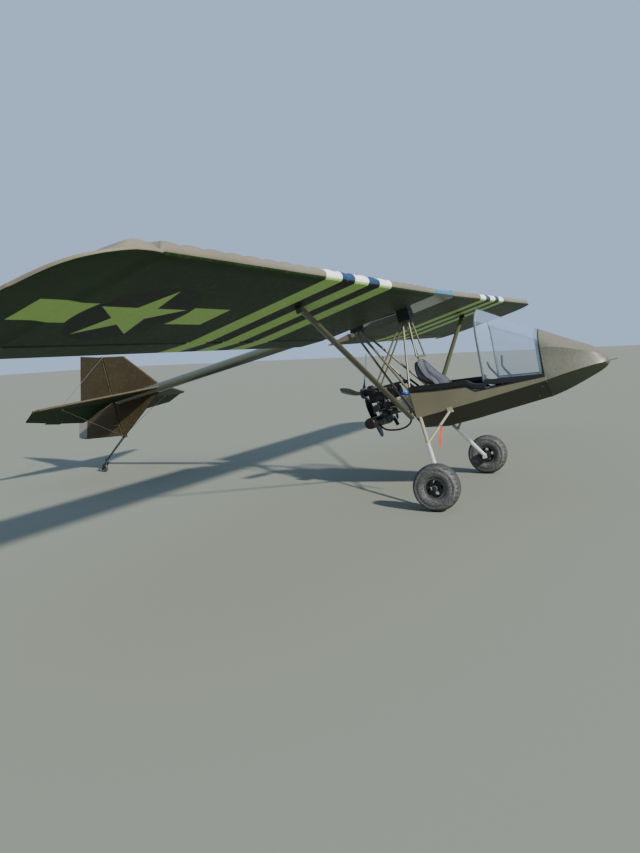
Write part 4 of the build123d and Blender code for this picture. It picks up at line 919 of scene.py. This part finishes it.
def seat():
    back = [pad_ring(Vector((fx, 0, fz)), Vector((rx, 0, rz)), h) for fx, fz, rx, rz, h in BACK_ROWS]
    pan = [pad_ring(Vector((x, 0, hi)), Vector((x, 0, lo)), h, 5.0) for x, lo, hi, h in PAN_ROWS]
    cushion("back_cushion", back, "seat_back", 0.008)
    cushion("pan_cushion", pan, "seat_pan", 0.006)
    edge = []
    for sign in (1, -1):
        edge.append(([(fx * 0.94 + rx * 0.06, sign * (h - 1), fz * 0.94 + rz * 0.06) for fx, fz, rx, rz, h in BACK_ROWS]))
    over = [(-106, 60, 1296), (-108, 0, 1299), (-106, -60, 1296)]
    lines("back_piping", [(edge[0] + over + edge[1][::-1], 4.5, True)], piping_grey)
    front = [(503, 190, 868), (506, 120, 872), (507, 0, 873), (506, -120, 872), (503, -190, 868)]
    lines("pan_piping", [(front, 4.0, True)], piping_grey)


seat()


# Cockpit: second lever, its rod, and a small board of dials under the nose's deck
def cockpit():
    lines("throttle_lever", [([(470, -236, 868), (480, -236, 935), (500, -236, 975)], 6, False)], dark_metal)
    lines("stick_bend", [([(649, -40, 1132), (637, -40, 1075), (628, -40, 1037), (655, -40, 985), (687, -40, 928)], 9.5,
                          True)], black_rubber)
    lines("stick_rod", [([(607, -40, 1135), (593, -40, 1046), (580, -40, 957), (576, -40, 930)], 3.0, False)], steel)
    bm = bmesh.new()
    turned(bm, (500, -236, 972), (0.3, 0, 1), [(0, 0), (0, 10), (5, 15), (20, 17), (30, 12), (34, 0)], 24)
    piece("throttle_knob", bm, black_rubber, sharp=40)
    board, rings, faces = bmesh.new(), bmesh.new(), bmesh.new()
    block(board, (958, -88, 1092), (992, 88, 1196), 6)
    for y, z, r in ((-48, 1158, 27), (14, 1158, 27), (-48, 1112, 14), (-8, 1112, 14), (32, 1112, 14), (64, 1150, 12)):
        turned(rings, (958, y, z), (-1, 0, 0), [(-1, r - 3), (3, r - 3), (4, r - 1), (3, r + 1), (-1, r + 2), (-1, r - 3)], 40)
        turned(faces, (958, y, z), (-1, 0, 0), [(0, 0), (0, r - 2), (1, r - 2.5), (1.2, 0)], 32)
    piece("dial_board", board, trim_black, sharp=35)
    piece("dial_rims", rings, steel, sharp=35)
    piece("dial_faces", faces, case_black, sharp=35)


cockpit()


# Engine: covers, leads, hoses and fasteners
CYLINDERS = (-480.0, -590.0)


def engine():
    rubber, bolts, ends, alloy = bmesh.new(), bmesh.new(), bmesh.new(), bmesh.new()
    for cx in CYLINDERS:
        turned(rubber, (cx, 0, 842), (0, 0, -1), [(0, 0), (0, 8), (6, 10), (26, 10), (34, 8), (36, 0)], 24)
        # pleated filters between two dark ends
        part_rows = [(0, 0), (0, 34.5), (2, 35.5), (8, 35.5), (9, 33)]
        turned(ends, (cx, -127, 955), (0, -1, 0), part_rows + [(9, 0)], 40)
        turned(ends, (cx, -178, 955), (0, -1, 0), [(0, 0), (0, 33), (1, 35.5), (7, 35.5), (9, 32), (10, 18), (9, 6), (9, 0)], 40)
        for k in range(44):
            a = 2 * math.pi * k / 44
            dx, dz = 33.5 * math.cos(a), 33.5 * math.sin(a)
            block(rubber, (cx + dx - 1.2, -180, 955 + dz - 1.2), (cx + dx + 1.2, -134, 955 + dz + 1.2), 0)
        # carburettor top, bowl screws and clamp
        turned(alloy, (cx, -104, 1003), (0, 0, 1), [(0, 0), (0, 18.5), (6, 18.5), (8, 16), (9, 6), (15, 5), (16, 0)], 28)
        turned(alloy, (cx, -104, 912), (0, 0, -1), [(0, 0), (0, 20.5), (4, 20.5), (8, 17), (9, 7), (14, 6), (15, 0)], 28)
        turned(ends, (cx, -66, 955), (0, -1, 0), [(0, 19), (0, 22), (2, 23), (8, 23), (10, 22), (10, 19), (0, 19)], 32)
        for dx in (-38, 38):
            for y in (-38, 38):
                bolt(bolts, (cx + dx, y, 893), (0, 0, -1), 4.5)
        for dx in (-30, 30):
            bolt(bolts, (cx + dx, 60, 950), (0, 1, 0), 4)
    for x in (-640, -568, -502, -430):
        for y in (-62, 62):
            bolt(bolts, (x, y, 1108), (0, 0, 1), 4.5)
    for k in range(8):
        a = 2 * math.pi * k / 8
        bolt(bolts, (-381, 58 * math.cos(a), 1062 + 58 * math.sin(a)), (1, 0, 0), 3.5)
    for k in range(16):
        a = 2 * math.pi * (k + 0.5) / 16
        y, z = 32 * math.cos(a), 1062 + 32 * math.sin(a)
        block(rubber, (-372, y - 3, z - 3), (-369.4, y + 3, z + 3), 0.8)
    # rocker and starter grip
    turned(rubber, (-372, 64, 1110), (1, 0.2, 0.5), disc(9, 44, 4), 20)
    piece("engine_rubber", rubber, black_rubber, sharp=40)
    piece("engine_bolts", bolts, steel, sharp=30)
    piece("filter_ends", ends, case_black, sharp=35)
    piece("carburettor_covers", alloy, steel, sharp=35)
    runs = []
    for i, cx in enumerate(CYLINDERS):
        runs.append(([(cx, 0, 808), (cx + 6, -30, 790), (-535, -70, 820), (-532 - 8 * i, -78, 900), (-532 - 8 * i, -70, 985),
                      (-532 - 8 * i, -58, 1024)], 3.6, True))
        # throttle cables from the carburettors' tops to the pod
        runs.append(([(cx, -104, 1016), (cx + 8, -104, 1060), (cx + 60, -128, 1092), (-390, -170, 1080), (-300, -222, 1030),
                      (-196, -262, 990), (-176, -266, 975)], 2.6, True))
    runs.append(([(-655, 40, 1090), (-660, 70, 1060), (-640, 92, 1010), (-600, 96, 985), (-560, 92, 1000), (-540, 74, 1030)],
                 4.2, True))
    lines("engine_leads", runs, black_rubber)
    pipes = [([(-318, -126, 876), (-322, -150, 846), (-360, -170, 868), (-410, -160, 930), (-448, -142, 936),
               (-480, -122, 936)], 3.6, True),
             ([(-410, -160, 930), (-470, -164, 926), (-540, -152, 930), (-572, -140, 936), (-590, -122, 936)], 3.6, True)]
    lines("fuel_lines", pipes, fuel_line)
    # black hose from the tank's floor down and back to the silencer's front
    lines("drain_hose", [([(-642, -96, 800), (-626, -97, 764), (-580, -100, 726), (-500, -102, 708), (-430, -102, 702),
                           (-360, -100, 716), (-316, -100, 748), (-300, -98, 800), (-296, -98, 872)], 9.0, True)], black_rubber)
    # straps round the tank, its cap and its outlet
    bands, cap_ring = bmesh.new(), bmesh.new()
    for y in (-95, 95):
        lo_x, hi_x, lo_z, hi_z = -384, -199, 868, 1010
        for low, high in (((lo_x, y - 12, hi_z - 3), (hi_x, y + 12, hi_z)), ((lo_x, y - 12, lo_z), (hi_x, y + 12, lo_z + 3)),
                          ((lo_x, y - 12, lo_z), (lo_x + 3, y + 12, hi_z)), ((hi_x - 3, y - 12, lo_z), (hi_x, y + 12, hi_z))):
            block(bands, low, high, 1)
        block(bands, (hi_x - 2, y - 16, 930), (hi_x + 5, y + 16, 962), 2)
    turned(cap_ring, (-300, -110, 1006), (0, 0, 1), [(0, 0), (0, 34), (4, 36), (28, 35.5), (33, 33), (34, 26), (32, 12), (32, 0)],
           48)
    for k in range(24):
        a = 2 * math.pi * k / 24
        block(cap_ring, (-300 + 35.6 * math.cos(a) - 1.6, -110 + 35.6 * math.sin(a) - 1.6, 1012),
              (-300 + 35.6 * math.cos(a) + 1.6, -110 + 35.6 * math.sin(a) + 1.6, 1034), 0)
    piece("tank_straps", bands, trim_black, sharp=35)
    piece("tank_cap_ribs", cap_ring, cap_blue, sharp=35)
    # muffler's bands and end cap, exhaust flanges
    bm = bmesh.new()
    for y in (-222, -20, 216):
        turned(bm, (-676, y, 828), (0, 1, 0), [(0, 50), (0, 53.2), (1.5, 54), (13, 54), (14.5, 53.2), (14.5, 50), (0, 50)], 48)
    turned(bm, (-676, -241, 828), (0, -1, 0), [(0, 0), (0, 49), (1, 51), (3, 49), (4.5, 40), (4.5, 0)], 48)
    for cx in CYLINDERS:
        block(bm, (cx - 34, 56, 930), (cx + 34, 62, 970), 2)
    piece("muffler_bands", bm, black_steel, sharp=35)
    # propeller's plate and bolts
    bm = bmesh.new()
    turned(bm, (-780, 0, 1128), (-1, 0, 0), [(0, 0), (0, 45), (1, 46), (4, 46), (5, 45), (5, 14), (3, 12), (3, 0)], 48)
    for k in range(6):
        a = 2 * math.pi * (k + 0.5) / 6
        bolt(bm, (-784.5, 31 * math.cos(a), 1128 + 31 * math.sin(a)), (-1, 0, 0), 5)
    piece("propeller_plate", bm, steel, "propeller", 30)


fuel_line = plain("fuel_line", (0.55, 0.40, 0.12), 0.25, coat=0.4)
engine()


# Tail: wires from the fin's top over the stabiliser to its foot, their tangs, the rudder's tab and brace, and bolts
# along the boom
grey_plate = plain("grey_plate", (0.23, 0.23, 0.22), 0.40, metallic=0.3, grain=40.0)


def tail():
    runs, tangs, bolts = [], bmesh.new(), bmesh.new()
    for sign in (1, -1):
        runs.append(([(-3979, sign * 12, 2384), (-3930, sign * 858, 1850)], 2.6, False))
        runs.append(([(-3930, sign * 858, 1812), (-3979, sign * 12, 1412)], 2.6, False))
        block(tangs, (-3936, sign * 858 - 7, 1806), (-3923, sign * 858 + 7, 1856), 1.2)
        block(tangs, (-3986, sign * 9 - 6, 2374), (-3970, sign * 9 + 6, 2390), 1.2)
        block(tangs, (-3986, sign * 9 - 6, 1406), (-3970, sign * 9 + 6, 1420), 1.2)
    lines("tail_wires", runs, steel, sides=2)
    piece("tail_tangs", tangs, steel, sharp=30)
    tab = bmesh.new()
    edge = [(-4489, -13, 1706), (-4562, -13, 1512), (-4668, -36, 1536), (-4600, -36, 1731)]
    cap(tab, *skin(tab, [[parked(x, y + t, z) for x, y, z in edge] for t in (0, 2.4)]))
    piece("rudder_tab", tab, grey_plate, "rudder", 30)
    lines("rudder_brace", [([(-4060, -13, 1808), (-4492, -13, 1724)], 4.5, False)], bare_tube, "rudder")
    for x in (-3240, -3520, -3860):
        for sign in (1, -1):
            bolt(bolts, (x, sign * 58, 1826), (0, sign, 0), 5)
    for x, z in ((-120, 1800), (60, 1800)):
        for sign in (1, -1):
            bolt(bolts, (x, sign * 58, z), (0, sign, 0), 6)
    piece("boom_bolts", bolts, steel, sharp=30)


tail()


# Ribbon that hangs from the starboard brace, and its loop
def ribbon():
    bm = bmesh.new()
    top, count, rings = Vector((42, -366, 662)), 14, []
    down = Vector((-SIN_P, 0, -COS_P))
    for k in range(count + 1):
        f = k / count
        at = top + down * (190 * f) + Vector((5 * math.sin(5 * f), 7 * math.sin(7.5 * f), 0))
        turn = 0.5 + 0.7 * f
        wide = Vector((11 * math.cos(turn), 11 * math.sin(turn), 0))
        thick = Vector((-math.sin(turn), math.cos(turn), 0))
        rings.append([parked(*(at + a * wide + b * thick)) for a, b in ((-1, -1), (1, -1), (1, 1), (-1, 1))])
    cap(bm, *skin(bm, rings))
    piece("brace_ribbon", bm, strap_orange, sharp=50)
    # its loop round the brace
    bm = bmesh.new()
    turned(bm, (38.4, -369, 661), Vector((213.5, 183.7, 229)).normalized(),
           [(0, 14), (1.5, 17), (10, 17), (11.5, 14), (0, 14)], 28)
    piece("ribbon_loop", bm, piping_grey, sharp=50)


ribbon()


# Floor and light
def add_floor():
    bm = bmesh.new()
    bmesh.ops.create_grid(bm, x_segments=1, y_segments=1, size=60.0)
    mesh = bpy.data.meshes.new("floor")
    bm.to_mesh(mesh)
    bm.free()
    floor = bpy.data.objects.new("floor", mesh)
    bpy.context.scene.collection.objects.link(floor)
    p = Paint("floor_pale")
    p.set(Base_Color=(0.200, 0.212, 0.172), Roughness=0.9, Specular_IOR_Level=0.1)
    mesh.materials.append(p.material)


def add_sun(name, toward, power, colour, soft):
    data = bpy.data.lights.new(name, "SUN")
    data.energy, data.color, data.angle = power, colour, math.radians(soft)
    obj = bpy.data.objects.new(name, data)
    obj.rotation_euler = Vector(toward).to_track_quat("Z", "Y").to_euler()
    bpy.context.scene.collection.objects.link(obj)


def add_sky():
    world = bpy.data.worlds.new("studio")
    bpy.context.scene.world = world
    world.use_nodes = True
    back = world.node_tree.nodes["Background"]
    back.inputs[0].default_value = (0.52, 0.70, 1.0, 1.0)
    back.inputs[1].default_value = 0.80


add_floor()
add_sky()
add_sun("key", (0.80, -0.27, 0.54), 7.2, (1.0, 0.95, 0.87), 2.5)
